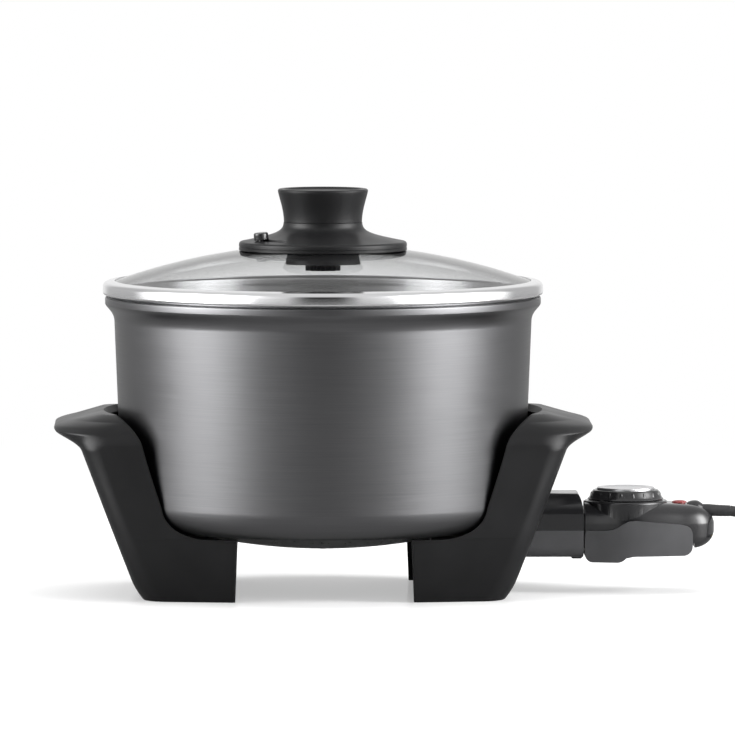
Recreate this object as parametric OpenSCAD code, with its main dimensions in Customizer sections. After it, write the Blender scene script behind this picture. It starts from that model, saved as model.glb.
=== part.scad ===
// Electric multicooker: a cast pot on two moulded leg handles, a lift-off glass lid
// and a plug-in heat control with its own lead.
// Millimetres, +Z up, front towards -Y, the table is z = 0.
// All shapes are drawn about the pot's axis; in_frame() then centres the object in X.

/* [Pot] */
// Outer radius of the rim flange
pot_rim_r = 141.6; // [125:0.1:160]
// Outer radius of the wall just under the flange
pot_top_r = 136.2; // [118:0.2:152]
// Outer radius where the wall would meet the underside
pot_base_r = 130.2; // [112:0.2:146]
// Height from the underside to the rim
pot_h = 149.5; // [110:0.5:190]
// Height of the underside over the table
pot_lift = 43; // [40:0.5:60]
// Thickness of the side wall
pot_wall = 3; // [2:0.25:5]
// Thickness of the floor
pot_floor = 4; // [3:0.25:7]
// Outer radius of the rounded bottom corner
pot_corner_r = 18; // [10:0.5:26]
// Height of the rim flange's edge
flange_t = 4.25; // [3:0.25:8]
// Width of the rim flange's flat top
flange_land = 8.4; // [7:0.1:12]
// Height of the cove under the flange
cove_h = 11.5; // [6:0.5:20]

/* [Heating] */
// Radius of the heating ring's centre line
ring_r = 62; // [50:0.5:66]
// Radius of the heating tube
tube_r = 3.3; // [2.5:0.1:4]
// Distance of each cold end from the middle
pin_y = 13; // [11:0.25:16]
// Radius of a terminal pin
pin_r = 2.4; // [2:0.1:3]
// Radius of the sensor rod
rod_r = 4; // [3:0.1:5]
// Radius of the domed base cover
cover_r = 100; // [92:0.5:104]
// Depth of the base cover's dome
cover_sag = 13.8; // [12:0.1:18]
// Thickness of the base cover
cover_t = 1; // [0.8:0.1:2]

/* [Legs] */
// Reach of the foot from the pot's axis
foot_reach = 116.4; // [110:0.2:132]
// Reach of the handle's tip from the pot's axis
grip_reach = 174.5; // [165:0.1:190]
// Height of the handle's tip
grip_z = 110.5; // [100:0.5:120]
// Height of the handle's crest beside the pot
crest_z = 119; // [112:0.2:128]
// Reach of the handle's inner edge from the pot's axis
crest_reach = 142.6; // [138:0.2:150]
// Lean of the outer face from the vertical, in degrees
leg_lean = 21; // [18:0.2:26]
// Half the leg's depth at the floor
foot_half = 75.5; // [66:0.5:82]
// Half the leg's depth at its belly
belly_half = 83.6; // [70:0.2:90]
// Distance of the leg's inner end from the pot's axis
leg_inner_x = 55.7; // [45:0.1:62]
// Thickness of the leg's moulded wall
leg_wall = 3.6; // [2.5:0.1:5]
// Gap between the legs and the pot's wall
leg_gap = 1.2; // [0.5:0.1:2]

/* [Socket] */
// Half the width of the heat control's socket
socket_half = 25; // [22:0.5:28]
// Height of the socket's underside over the table
socket_low = 23.8; // [20:0.2:26]
// Height of the socket's top over the table
socket_top = 65; // [60:0.5:72]
// Height of the joint between the hood and the cradle
socket_split = 41.4; // [36:0.2:44]
// Reach of the socket's mouth from the pot's axis
socket_reach = 168.8; // [160:0.2:176]
// Thickness of the socket's wall
socket_wall = 3; // [2:0.25:4]

/* [Lid] */
// Outer radius of the lid's steel rim
lid_r = 143; // [126:0.2:162]
// Radius of the glass dome's outer surface
dome_r = 400; // [340:5:480]
// Height of the glass dome's top over the pot's rim
dome_rise = 33.4; // [30:0.2:42]
// Thickness of the glass
glass_t = 4; // [3:0.25:5]
// Height of the rim's outer band
band_h = 8.6; // [6:0.2:11]

/* [Knob] */
// Radius of the knob's base
base_r = 54.6; // [46:0.2:60]
// Height of the base's edge
base_edge = 6; // [3.5:0.1:7]
// Radius of the knob's waist
waist_r = 25.4; // [20:0.2:30]
// Radius of the knob's top
knob_r = 29.2; // [24:0.2:34]
// Height of the waist over the dome's top
waist_rise = 14.8; // [11:0.2:18]
// Height of the grip above the waist
grip_h = 22; // [18:0.5:28]
// Angle of the steam lever at rest, in degrees from +X
lever_angle = 207; // [200:1:215]
// Travel of the steam lever in degrees
lever_travel = 28; // [15:1:34]
// Radius on which the steam lever runs
lever_r = 45; // [42:0.5:47]

/* [Heat control] */
// Distance of the dial's axis from the pot's axis
dial_x = 197; // [192:0.5:202]
// Radius of the dial's skirt
dial_r = 24.6; // [20:0.2:27]
// Height of the housing's top over the table
probe_top = 58.5; // [54:0.5:64]
// Height of the joint between the two housing shells
probe_split = 43.5; // [40:0.5:48]
// Reach of the housing's tail from the pot's axis
probe_reach = 254.5; // [246:0.5:262]
// Thickness of the housing's wall
probe_wall = 2.4; // [1.8:0.1:3]
// Thickness of the trigger's wall
trigger_wall = 2.2; // [1.6:0.1:3]

/* [Lead] */
// Radius of the mains lead
lead_r = 3.45; // [3:0.05:4.5]
// Radius of the lead's coil at the middle of its turns
coil_r = 38; // [34:0.5:46]
// Turns in each of the coil's two layers
coil_turns = 2; // [1:1:3]

/* [Hidden] */
$fn = 64;
eps = 0.01;
fit = 0.05;
clear = 0.3;
// The object's middle in X, measured from the pot's axis
mid_x = (probe_reach - grip_reach) / 2;

// Points along an arc, both ends included
function arc(c, r, a0, a1, n) = [for (i = [0:n]) let (a = a0 + (a1 - a0) * i / n) c + r * [cos(a), sin(a)]];
// A point on a cubic curve
function bezier(p, t) =
    pow(1 - t, 3) * p[0] + 3 * pow(1 - t, 2) * t * p[1] + 3 * (1 - t) * t * t * p[2] + pow(t, 3) * p[3];
function curve(p, n) = [for (i = [0:n]) bezier(p, i / n)];
// A rounded rectangle from low to high, with its own radius at the bottom and at the top
function rounded(low, high, r_bottom, r_top, n = 5) = concat(
    arc([low.x + r_bottom, low.y + r_bottom], r_bottom, 180, 270, n),
    arc([high.x - r_bottom, low.y + r_bottom], r_bottom, 270, 360, n),
    arc([high.x - r_top, high.y - r_top], r_top, 0, 90, n),
    arc([low.x + r_top, high.y - r_top], r_top, 90, 180, n));

module in_frame() {
    translate([-mid_x, 0, 0])
        children();
}

// A flat outline in Y and Z, drawn out along X
module along_x(x0, x1) {
    translate([x0, 0, 0])
        rotate([90, 0, 90])
            linear_extrude(x1 - x0)
                children();
}

// A flat outline in X and Z, drawn out along Y
module along_y(y0, y1) {
    translate([0, y1, 0])
        rotate([90, 0, 0])
            linear_extrude(y1 - y0)
                children();
}

module rod_x(x0, x1, r, r_end = undef) {
    translate([x0, 0, 0])
        rotate([0, 90, 0])
            cylinder(h = x1 - x0, r1 = r, r2 = is_undef(r_end) ? r : r_end);
}

// End faces of a skin: one fan, or for a ring that doubles back on itself a strip across it
function fan(n) = [for (i = [0:n - 1]) i];
function strip(n) = [for (i = [0:n / 2 - 2]) each [[i, i + 1, n - 2 - i], [i, n - 2 - i, n - 1 - i]]];

// A closed skin over rings that each have the same number of points
module loft(rings, doubled = false) {
    n = len(rings[0]);
    last = len(rings) - 1;
    ends = doubled ? strip(n) : [fan(n)];
    polyhedron(
        points = [for (ring = rings) each ring],
        faces = concat(
            ends,
            [for (f = ends) [for (i = [len(f) - 1:-1:0]) last * n + f[i]]],
            [for (k = [0:last - 1], i = [0:n - 1])
                let (j = (i + 1) % n)
                each [
                    [k * n + i, (k + 1) * n + i, k * n + j],
                    [(k + 1) * n + i, (k + 1) * n + j, k * n + j]]]),
        convexity = 8);
}

// Pot sizes that other pieces share
rim_z = pot_lift + pot_h;
wall_lean = atan((pot_top_r - pot_base_r) / pot_h);
cove_low = rim_z - flange_t - cove_h;
corner_x = pot_base_r - pot_corner_r * (1 - sin(wall_lean)) / cos(wall_lean);
function wall_r(z) = pot_base_r + (z - pot_lift) * tan(wall_lean);

// The pot's outside below the cove, let out sideways and downwards by a gap
function pot_skin(gap, drop, top) = concat(
    [[0, pot_lift - drop]],
    arc([corner_x, pot_lift + pot_corner_r - drop + gap], pot_corner_r + gap, -90, -wall_lean, 8),
    [[wall_r(top) + gap, top], [0, top]]);

module pot_space(gap, drop, top) {
    rotate_extrude()
        polygon(pot_skin(gap, drop, top));
}

// Bosses on the pot's underside
boss_r = 5;
leg_boss_at = [96, 50];
leg_boss_low = 34.5;
socket_boss_at = [104, 29];
socket_plate_top = 30;
rod_z = 38;
tube_z = pot_lift - tube_r - 0.1;
screw_r = 1.9;
clamp_rib = 3;
clamp_depth = 5.5;
well_r = 6.4;
well_low_x = 70;
well_high_x = 116;
cover_boss_low = pot_lift - cover_sag + cover_t + 0.2;

module heel_bosses(at, low) {
    for (side = [-1, 1], end = [-1, 1])
        translate([side * at.x, end * at.y, low])
            cylinder(h = pot_lift + eps - low, r = boss_r);
}

module pot() {
    in_frame()
        color("dimgray")
            difference() {
                union() {
                    rotate_extrude()
                        polygon(concat(
                            [[0, pot_lift]],
                            arc([corner_x, pot_lift + pot_corner_r], pot_corner_r, -90, -wall_lean, 8),
                            curve([[wall_r(cove_low), cove_low],
                                [wall_r(cove_low) + 0.2, cove_low + 0.56 * cove_h],
                                [pot_rim_r - 0.6, rim_z - flange_t - 2.6],
                                [pot_rim_r, rim_z - flange_t]], 8),
                            arc([pot_rim_r - 1, rim_z - 1], 1, 0, 90, 3),
                            arc([pot_rim_r - flange_land + 1, rim_z - 1], 1, 90, 180, 3),
                            [[wall_r(rim_z - 6) - pot_wall, rim_z - 6]],
                            arc([corner_x, pot_lift + pot_corner_r + pot_floor - pot_wall],
                                pot_corner_r - pot_wall, -wall_lean, -90, 8),
                            [[0, pot_lift + pot_floor]]));
                    heel_bosses(leg_boss_at, leg_boss_low);
                    for (end = [-1, 1])
                        translate([socket_boss_at.x, end * socket_boss_at.y, socket_plate_top])
                            cylinder(h = pot_lift + eps - socket_plate_top, r = boss_r - 0.5);
                    translate([0, 0, cover_boss_low])
                        cylinder(h = pot_lift + eps - cover_boss_low, r = boss_r);
                    // Two ribs that hold the heating ring between them
                    for (r = [ring_r - tube_r - fit - clamp_rib, ring_r + tube_r + fit])
                        rotate([0, 0, 28])
                            translate([0, 0, pot_lift - clamp_depth])
                                rotate_extrude(angle = 304)
                                    translate([r, 0])
                                        square([clamp_rib, clamp_depth + eps]);
                    // Thick rib with the sensor's well
                    translate([0, 0, rod_z])
                        rod_x(well_low_x, well_high_x, well_r);
                    translate([well_low_x, -well_r, rod_z])
                        cube([well_high_x - well_low_x, 2 * well_r, pot_lift + eps - rod_z]);
                }
                for (side = [-1, 1], end = [-1, 1])
                    translate([side * leg_boss_at.x, end * leg_boss_at.y, leg_boss_low - eps])
                        cylinder(h = 10, r = screw_r);
                for (end = [-1, 1])
                    translate([socket_boss_at.x, end * socket_boss_at.y, socket_plate_top - eps])
                        cylinder(h = 12, r = screw_r);
                translate([0, 0, cover_boss_low - eps])
                    cylinder(h = 10, r = screw_r);
                translate([0, 0, rod_z])
                    rod_x(well_low_x + 3, well_high_x + 1, rod_r + clear);
            }
}

// Height of the base cover's outside at a distance from the axis
function cover_z(r) = pot_lift - cover_sag + cover_sag * pow(r / cover_r, 2);

module base_cover() {
    notch_y = pin_y + tube_r + 3;
    steps = 10;
    in_frame()
        color("gray")
            difference() {
                rotate_extrude()
                    polygon(concat(
                        [for (i = [0:steps]) let (r = cover_r * i / steps) [r, cover_z(r)]],
                        [[cover_r, pot_lift]],
                        [for (i = [steps:-1:0])
                            let (r = (cover_r - cover_t) * i / steps)
                            [r, min(cover_z(r) + cover_t, pot_lift)]]));
                translate([0, 0, pot_lift - cover_sag - 1])
                    cylinder(h = cover_t + 2, r = screw_r + clear);
                translate([ring_r + 2.5, -notch_y, pot_lift - cover_sag - 1])
                    cube([cover_r, 2 * notch_y, cover_sag + 2]);
            }
}

// A pan-head screw that points up, with the underside of its head at z = 0
module screw(length, head_r, head_h, shank_r = screw_r) {
    rotate_extrude()
        polygon(concat(
            [[0, length], [0, -head_h]],
            [[head_r * 0.6, -head_h], [head_r * 0.92, -head_h * 0.72], [head_r, -head_h * 0.3], [head_r, 0]],
            [[shank_r - fit, 0], [shank_r - fit, length - 0.6], [shank_r - 0.6, length]]));
}

module cover_screw() {
    in_frame()
        color("silver")
            translate([0, 0, pot_lift - cover_sag - fit])
                screw(10, 4, 1.4);
}

// Where a cold end leaves the ring: its bend is an arc of this radius
bend_r = 8;
bend_a = asin((pin_y + bend_r) / (ring_r + bend_r));
cold_end_x = 121;
pin_end_x = 160;

module heating_element() {
    bend_at = (ring_r + bend_r) * [cos(bend_a), sin(bend_a)];
    half = concat(
        [[cold_end_x, pin_y]],
        arc(bend_at, bend_r, 270, 180 + bend_a, 6),
        [for (i = [1:21]) let (a = bend_a + (180 - bend_a) * i / 21) ring_r * [cos(a), sin(a)]]);
    ring = concat(half, [for (i = [len(half) - 2:-1:0]) [half[i].x, -half[i].y]]);
    in_frame()
        color("darkslategray")
            tube([for (p = ring) [p.x, p.y, tube_z]], tube_r, 10);
}

module terminal_pins() {
    in_frame()
        color("gold")
            for (side = [-1, 1])
                translate([0, side * pin_y, tube_z]) {
                    rod_x(cold_end_x, pin_end_x - 1, pin_r);
                    rod_x(pin_end_x - 1, pin_end_x, pin_r, pin_r - 0.9);
                }
}

// Leg: reach of the outer face and half depth, both against height
lip_root_z = grip_z - 14;
toe_in = 2.8;
toe_h = 13;
function line_at(z) = foot_reach + toe_in + z * tan(leg_lean);
line_x = line_at(lip_root_z);
crest_x = crest_reach + 1.2;
grip_curve = curve([[lip_root_z, line_x], [lip_root_z + 5.6, line_x + 2.2],
    [grip_z - 5.5, grip_reach], [grip_z - 1, grip_reach]], 8);
crest_curve = curve([[grip_z - 1, grip_reach], [grip_z + 2.3, grip_reach],
    [crest_z - 5, crest_x + 19], [crest_z, crest_x]], 10);
toe_curve = [for (i = [0:4]) let (z = toe_h * i / 4) [z, line_at(z) - toe_in * pow(1 - z / toe_h, 2)]];
reach_curve = concat(toe_curve, grip_curve, [for (i = [1:10]) crest_curve[i]]);
side_curve = concat(
    curve([[0, foot_half], [10, foot_half + 2.8], [24, belly_half], [38, belly_half]], 4),
    [for (i = [1:6]) bezier([[38, belly_half], [58, belly_half],
        [lip_root_z - 10, belly_half - 4.2], [lip_root_z + 4, belly_half - 4.2]], i / 6)],
    [for (i = [1:8]) bezier([[lip_root_z + 4, belly_half - 4.2], [grip_z, belly_half - 5.6],
        [crest_z - 2.2, belly_half - 18], [crest_z, belly_half - 28.4]], i / 8)]);
function reach_at(z) = lookup(z, reach_curve);
function side_at(z) = lookup(z, side_curve);
corner_curve = [[0, 18], [60, 14], [lip_root_z, 15], [grip_z - 4, 36], [grip_z, 42], [crest_z, 38]];
function corner_at(z) = lookup(z, corner_curve);
function inner_at(z) = leg_inner_x + 1.7 * max(0, 1 - z / pot_lift);
roof_t = 4.6;
function hollow_reach(z) = min(
    line_at(z) - leg_wall / cos(leg_lean),
    reach_at(z) - leg_wall,
    lookup(z + roof_t, crest_curve) - 1);
function hollow_side(z) = min(side_at(z) - leg_wall, side_at(z + roof_t) - 1.2);

// Inner bound of a leg at a height: clear of the pot, and wide enough for fingers further up
under_gap = 2.2;
bound_z = pot_lift + pot_corner_r;
bound_low_r = wall_r(bound_z) + leg_gap;
function bound_r(z) = z >= bound_z
    ? bound_low_r + (crest_reach - bound_low_r) * (z - bound_z) / (crest_z - bound_z)
    : corner_x + (pot_corner_r + leg_gap)
        * sqrt(max(0, 1 - pow((bound_z - z) / (pot_corner_r + under_gap), 2)));

// The front and the back close in slightly towards the outer face
side_slant = 0.15;
slant_a = atan(side_slant);
// Where the front or back face meets a circle about the pot's axis
function meet_x(half, r, inner) =
    let (a = half + 100 * side_slant, k = 1 + side_slant * side_slant)
    max(inner, (a * side_slant + sqrt(max(0, pow(a * side_slant, 2) - k * (a * a - r * r)))) / k);
function kept_out(p, r) = norm(p) < r ? p * r / norm(p) : p;

// Half of a leg's outline at one height, from its end at the pot to the middle of the outer face
function leg_half(reach, half, corner, bound, inner, edge) =
    let (
        x0 = meet_x(half, bound, inner),
        y0 = half + side_slant * (100 - x0),
        r = min(corner, 0.9 * half, (reach - x0 - 1.2) / (1 - sin(slant_a))),
        cx = reach - r,
        cy = half + side_slant * (100 - cx) - r / cos(slant_a)
    )
    concat(
        [kept_out([x0, y0 - edge], bound)],
        [kept_out([x0 + edge, y0 - edge * side_slant], bound + edge * 0.7)],
        [for (p = arc([cx, cy], r, 90 - slant_a, 0, 6)) kept_out(p, bound + edge)]);
function backwards(p) = [for (i = [len(p) - 1:-1:0]) p[i]];
function flipped(p) = [for (q = p) [q.x, -q.y]];
function leg_ring(z) =
    let (
        bound = z > leg_shelf_z ? bound_r(z) : 0,
        inner = inner_at(z),
        out = leg_half(reach_at(z), side_at(z), corner_at(z), bound, inner, 1),
        in = leg_half(hollow_reach(z), hollow_side(z), max(corner_at(z) - leg_wall, 4), bound, inner, 0)
    )
    [for (p = concat(flipped(out), backwards(out), in, backwards(flipped(in)))) [p.x, p.y, z]];

leg_shelf_z = pot_lift - under_gap;
leg_levels = concat(
    [for (i = [0:5]) leg_shelf_z * i / 5],
    [for (i = [0:4]) leg_shelf_z + 0.2 + (bound_z - leg_shelf_z) * pow(i / 4, 1.5)],
    [for (i = [1:5]) bound_z + 0.2 + (lip_root_z - 1 - bound_z) * i / 5],
    [for (i = [1:14]) lip_root_z + (crest_z - lip_root_z) * i / 14]);

leg_pad_t = 3.5;
leg_pad_low = leg_boss_low - leg_pad_t;

module leg(socket) {
    pad_y = leg_boss_at.y - 8;
    pad_l = belly_half - leg_wall / 2 - pad_y;
    difference() {
        union() {
            loft([for (z = leg_levels) leg_ring(z)], doubled = true);
            // Two pads that the screws hold against the pot's bosses, each with a web below it
            for (side = [0, 1])
                mirror([0, side, 0]) {
                    translate([leg_boss_at.x - 9, pad_y, leg_pad_low])
                        cube([18, pad_l, leg_pad_t]);
                    translate([0, pad_y, leg_pad_low - 16])
                        along_x(leg_boss_at.x + 6, leg_boss_at.x + 8)
                            polygon([[0, 16 + eps], [pad_l, 16 + eps], [pad_l, 0]]);
                }
        }
        for (end = [-1, 1])
            translate([leg_boss_at.x, end * leg_boss_at.y, leg_pad_low - 1])
                cylinder(h = leg_pad_t + 2, r = screw_r + clear);
        if (socket)
            along_x(leg_inner_x + 40, grip_reach)
                polygon(rounded([-socket_half - clear, socket_low - clear],
                    [socket_half + clear, socket_top + clear], 7 + clear, 13 + clear));
    }
}

module leg_left() {
    in_frame()
        color([0.13, 0.13, 0.14])
            mirror([1, 0, 0])
                leg(false);
}

module leg_right() {
    in_frame()
        color([0.13, 0.13, 0.14])
            leg(true);
}

module leg_screws() {
    in_frame()
        color("silver")
            for (side = [-1, 1], end = [-1, 1])
                translate([side * leg_boss_at.x, end * leg_boss_at.y, leg_pad_low])
                    screw(11, 3.8, 2.4);
}

// Socket: a duct of two mouldings between the pot's wall and the heat control
mouth_back = 4.4;
mouth_roll = 15;

module socket_duct() {
    difference() {
        along_x(socket_boss_at.x + 6, socket_reach + 2)
            difference() {
                polygon(rounded([-socket_half, socket_low], [socket_half, socket_top], 7, 13));
                polygon(rounded([-socket_half + socket_wall, socket_low + socket_wall],
                    [socket_half - socket_wall, socket_top - socket_wall], 5, 10));
            }
        pot_space(leg_gap, leg_gap + 1, socket_top + 20);
        // The mouth is upright, and rolls back at its top
        along_y(-socket_half - 5, socket_half + 5)
            polygon(concat(
                [[socket_reach, 0], [socket_reach, socket_top - mouth_roll]],
                [for (i = [1:6]) let (a = 15 * i)
                    [socket_reach - mouth_back * (1 - cos(a)), socket_top - mouth_roll * (1 - sin(a))]],
                [[socket_reach - mouth_back - 1, socket_top + 2]],
                [[socket_reach + 20, socket_top + 2], [socket_reach + 20, 0]]));
    }
}

module socket_hood() {
    in_frame()
        color([0.08, 0.08, 0.09])
            intersection() {
                socket_duct();
                translate([0, -50, socket_split])
                    cube([grip_reach, 100, 60]);
            }
}

module socket_cradle() {
    plate_t = 3;
    in_frame()
        color([0.3, 0.3, 0.31])
            difference() {
                union() {
                    intersection() {
                        socket_duct();
                        translate([0, -50, 0])
                            cube([grip_reach, 100, socket_split]);
                    }
                    // A plate under the pot carries the socket
                    translate([socket_boss_at.x - 7, -socket_boss_at.y - 6, socket_plate_top - plate_t])
                        cube([14, 2 * socket_boss_at.y + 12, plate_t]);
                    translate([socket_boss_at.x, -socket_half + 1.5, socket_plate_top - plate_t])
                        cube([14, 2 * socket_half - 3, plate_t]);
                    // Finger lug under the mouth
                    translate([socket_reach - 7.4, -6, socket_low - 2.2])
                        cube([7.2, 12, 2.7]);
                }
                for (end = [-1, 1])
                    translate([socket_boss_at.x, end * socket_boss_at.y, socket_plate_top - plate_t - 1])
                        cylinder(h = plate_t + 2, r = screw_r + clear);
            }
}

module socket_screws() {
    in_frame()
        color("silver")
            for (end = [-1, 1])
                translate([socket_boss_at.x, end * socket_boss_at.y, socket_plate_top - 3])
                    screw(11, 3.8, 2.2);
}

// Lid: the dome is part of a ball, its top over the pot's rim
dome_top = rim_z + dome_rise;
dome_c = dome_top - dome_r;
function dome_z(r) = dome_c + sqrt(dome_r * dome_r - r * r);
function under_z(r) = dome_c + sqrt(pow(dome_r - glass_t, 2) - r * r);
glass_edge_r = lid_r - 2;
hole_r = 4.5;

module lid_glass() {
    n = 12;
    radii = [for (i = [0:n]) hole_r + (glass_edge_r - hole_r) * i / n];
    in_frame()
        color([0.8, 0.88, 0.9, 0.4])
            rotate_extrude()
                polygon(concat(
                    [for (r = radii) [r, dome_z(r)]],
                    [for (i = [n:-1:0]) [radii[i], under_z(radii[i])]]));
}

module lid_rim() {
    lip_r = lid_r - 7.8;
    seat_r = pot_rim_r - 3;
    inner_r = pot_rim_r - flange_land - 1.4;
    low = rim_z + 1.6;
    bed = 0.12;
    in_frame()
        color("gainsboro")
            rotate_extrude()
                polygon(concat(
                    [[lip_r, dome_z(lip_r) + bed], [lip_r + 0.3, dome_z(lip_r) + 0.7]],
                    arc([lid_r - 3.4, low + band_h - 3.6], 3.4, 78, 0, 5),
                    arc([lid_r - 1.4, low + 1.4], 1.4, 0, -90, 4),
                    [[lid_r - 3.2, low + 0.2], [seat_r + 0.6, rim_z + 0.3], [seat_r, rim_z]],
                    [[inner_r + 0.8, rim_z], [inner_r + 0.8, rim_z - 5]],
                    [[inner_r, rim_z - 5], [inner_r, rim_z + 2]],
                    [[inner_r + 1.4, under_z(inner_r + 1.4) - bed]],
                    [[glass_edge_r + bed, under_z(glass_edge_r) - bed]],
                    [[glass_edge_r + bed, dome_z(glass_edge_r) + bed]]));
}

// Knob: heights count from the dome's top
waist_z = dome_top + waist_rise;
knob_top = waist_z + grip_h;
edge_z = dome_z(base_r) + 0.4;
flare = curve([[waist_r + 0.2, waist_z], [waist_r + 0.4, waist_z - 6],
    [waist_r + 5, edge_z + base_edge + 4.4], [base_r - 2.4, edge_z + base_edge]], 12);
shell_t = 2.4;
slot_half = 2.6;
lever_stem_r = 2.2;

module knob_base() {
    in_frame()
        color([0.1, 0.1, 0.11])
            difference() {
                rotate_extrude()
                    polygon(concat(
                        [[hole_r, waist_z]],
                        flare,
                        arc([base_r - 2, edge_z + base_edge - 2.1], 2, 78, 0, 5),
                        [[base_r, edge_z + 2.4], [base_r - 0.5, edge_z + 2.1], [base_r, edge_z + 1.8]],
                        [[base_r, edge_z], [base_r - shell_t, edge_z]],
                        [for (i = [12:-1:3]) flare[i] + [-shell_t * 0.5, -shell_t]],
                        [[waist_r - 4, waist_z - 6], [hole_r + 5, waist_z - 6]],
                        [[hole_r + 5, dome_top + 1.2], [hole_r, dome_top + 1.2]]));
                // Curved slot that the steam lever's stem runs in
                rotate([0, 0, lever_angle])
                    for (a = [0, lever_travel])
                        rotate([0, 0, a])
                            translate([lever_r, 0, dome_top - 4])
                                cylinder(h = 20, r = slot_half);
                rotate([0, 0, lever_angle])
                    translate([0, 0, dome_top - 4])
                        rotate_extrude(angle = lever_travel)
                            translate([lever_r - slot_half, 0])
                                square([2 * slot_half, 20]);
            }
}

module knob_grip() {
    in_frame()
        color([0.1, 0.1, 0.11])
            rotate_extrude()
                polygon(concat(
                    [[hole_r, waist_z], [waist_r - 0.2, waist_z], [waist_r, waist_z + 0.3]],
                    curve([[waist_r, waist_z + 0.5], [waist_r + 0.2, waist_z + 8],
                        [knob_r - 1.6, knob_top - 9], [knob_r, knob_top - 2.4]], 8),
                    arc([knob_r - 1.3, knob_top - 1.6], 1.4, 0, 90, 4),
                    [[knob_r - 3.2, knob_top - 0.4], [knob_r - 4.4, knob_top - 1.5]],
                    [[0, knob_top - 2.2], [0, waist_z + 10], [hole_r, waist_z + 10]]));
}

lever_ring_low = dome_z(lever_r - 9) + 0.35;

module steam_lever() {
    slope_z = lookup(lever_r, flare) + 0.5;
    slope_a = atan((lookup(lever_r - 4, flare) - lookup(lever_r + 4, flare)) / 8);
    in_frame()
        color([0.06, 0.06, 0.07]) {
            translate([0, 0, lever_ring_low])
                rotate([0, 0, lever_angle - 35])
                    rotate_extrude(angle = 70)
                        translate([lever_r - 9, 0])
                            square([11.5, 1.1]);
            rotate([0, 0, lever_angle])
                translate([lever_r, 0, lever_ring_low]) {
                    cylinder(h = slope_z - lever_ring_low + 1, r = lever_stem_r);
                    translate([0, 0, slope_z - lever_ring_low])
                        rotate([0, slope_a, 0])
                            rotate_extrude()
                                polygon([[0, 0], [4, 0], [4.8, 0.9], [4.7, 3.5],
                                    [4, 4.5], [2.5, 4.9], [0, 5]]);
                }
        }
}

// Clamped parts under the glass: a cup with the nut inside it
washer_r = 24.6;
washer_plate = 2;
gasket_t = 1.2;
washer_top = under_z(0) - gasket_t - 0.6;
washer_low = washer_top - 9.2;
nut_low = washer_top - 9;
nut_r = 8.7;
lobe_r = 2.8;

module glass_gasket() {
    in_frame()
        color("dimgray")
            translate([0, 0, washer_top])
                difference() {
                    cylinder(h = gasket_t, r = washer_r - 6);
                    translate([0, 0, -1])
                        cylinder(h = gasket_t + 2, r = screw_r + 0.6);
                }
}

module under_washer() {
    in_frame()
        color([0.7, 0.7, 0.72])
            rotate_extrude()
                polygon([[screw_r + 0.6, washer_top], [washer_r - 2.6, washer_top],
                    [washer_r - 1.6, washer_top - 1], [washer_r, washer_low], [washer_r - 1.8, washer_low],
                    [washer_r - 3.2, washer_top - washer_plate],
                    [screw_r + 0.6, washer_top - washer_plate]]);
}

module clamp_nut() {
    top = washer_top - washer_plate;
    in_frame()
        color([0.08, 0.08, 0.09])
            translate([0, 0, nut_low])
                difference() {
                    union() {
                        cylinder(h = top - nut_low, r = nut_r + 0.9);
                        for (i = [0:7])
                            rotate([0, 0, i * 45])
                                translate([nut_r, 0, 0])
                                    cylinder(h = top - nut_low - 0.4, r = lobe_r, $fn = 32);
                    }
                    translate([0, 0, -1])
                        cylinder(h = 12, r = screw_r + 0.6);
                }
}

module knob_screw() {
    in_frame()
        color("silver")
            translate([0, 0, nut_low])
                screw(waist_z + 8 - nut_low, 5.2, 1.8);
}

// Heat control: half width, top and bottom of the housing along X
probe_x0 = 170;
tail_x = probe_reach - 14.5;
function probe_half(x) = lookup(x, [[170, 22], [176, 23.2], [185, 25.6], [193, 27.2], [199, 27.6], [208, 27],
    [220, 24.6], [232, 21.6], [tail_x, 19.4],
    [tail_x + 6, 16.9], [tail_x + 10.5, 12.8], [tail_x + 13.4, 7.4],
    [probe_reach, 3.4]]);
tail_drop = 1.4;
function probe_high(x) = x < tail_x - 4 ? probe_top - tail_drop * pow(max(0, x - 210) / (tail_x - 214), 2)
    : probe_split + 0.6 + (probe_top - tail_drop - probe_split - 0.6)
        * sqrt(max(0.02, 1 - pow((x - tail_x + 4) / (probe_reach - tail_x + 4.1), 2)));
function probe_low(x) = x < tail_x ? 27
    : probe_split - 3 - (probe_split - 32)
        * sqrt(max(0.02, 1 - pow((x - tail_x) / (probe_reach - tail_x + 0.1), 2)));
probe_stations = concat([170, 176, 182, 188, 193, 199, 205, 212, 220, 228, tail_x - 4, tail_x],
    [for (t = [3, 6, 8.5, 10.5, 12.2, 13.4, 14.2, 14.5]) tail_x + t]);
function probe_ring(x, in) =
    let (
        b = probe_half(x) - in,
        top = probe_high(x) - in,
        low = probe_low(x) + in,
        rt = min(13 - in, b * 0.6, (top - low) * 0.42),
        rb = min(7 - in, b * 0.4, (top - low) * 0.3)
    )
    [for (p = rounded([-b, low], [b, top], rb, rt, 5)) [x, p.x, p.y]];

module probe_outside() {
    loft([for (x = probe_stations) probe_ring(x, 0)]);
}

module probe_inside() {
    loft([for (x = [172.4, 182, 193, 199, 208, 220, 232, tail_x, tail_x + 6, tail_x + 10.5])
        probe_ring(x, probe_wall)]);
}

drum_r = 27.2;
drum_top = probe_top + 1.1;
relief_z = 52.8;
relief_r = 3.9;
relief_x = 242.5;
collar_r = 6.4;
lens_x = 232;
lens_r = 5;
lens_z = probe_high(lens_x);
shaft_r = 3;
trigger_x = 184;
trigger_x0 = 169.6;
trigger_z = 30.5;
trigger_pin_r = 1.8;
trigger_low = 24.8;
trigger_pin_half = 27.6;
trigger_end = tail_x - 0.2;
nose_low = 29;
nose_top = 58;
nose_half = 19;
nose_x = 148;
probe_screw_at = [[190, -19.5], [190, 19.5], [tail_x + 3, 0]];

module at_dial() {
    translate([dial_x, 0, 0])
        children();
}

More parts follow.
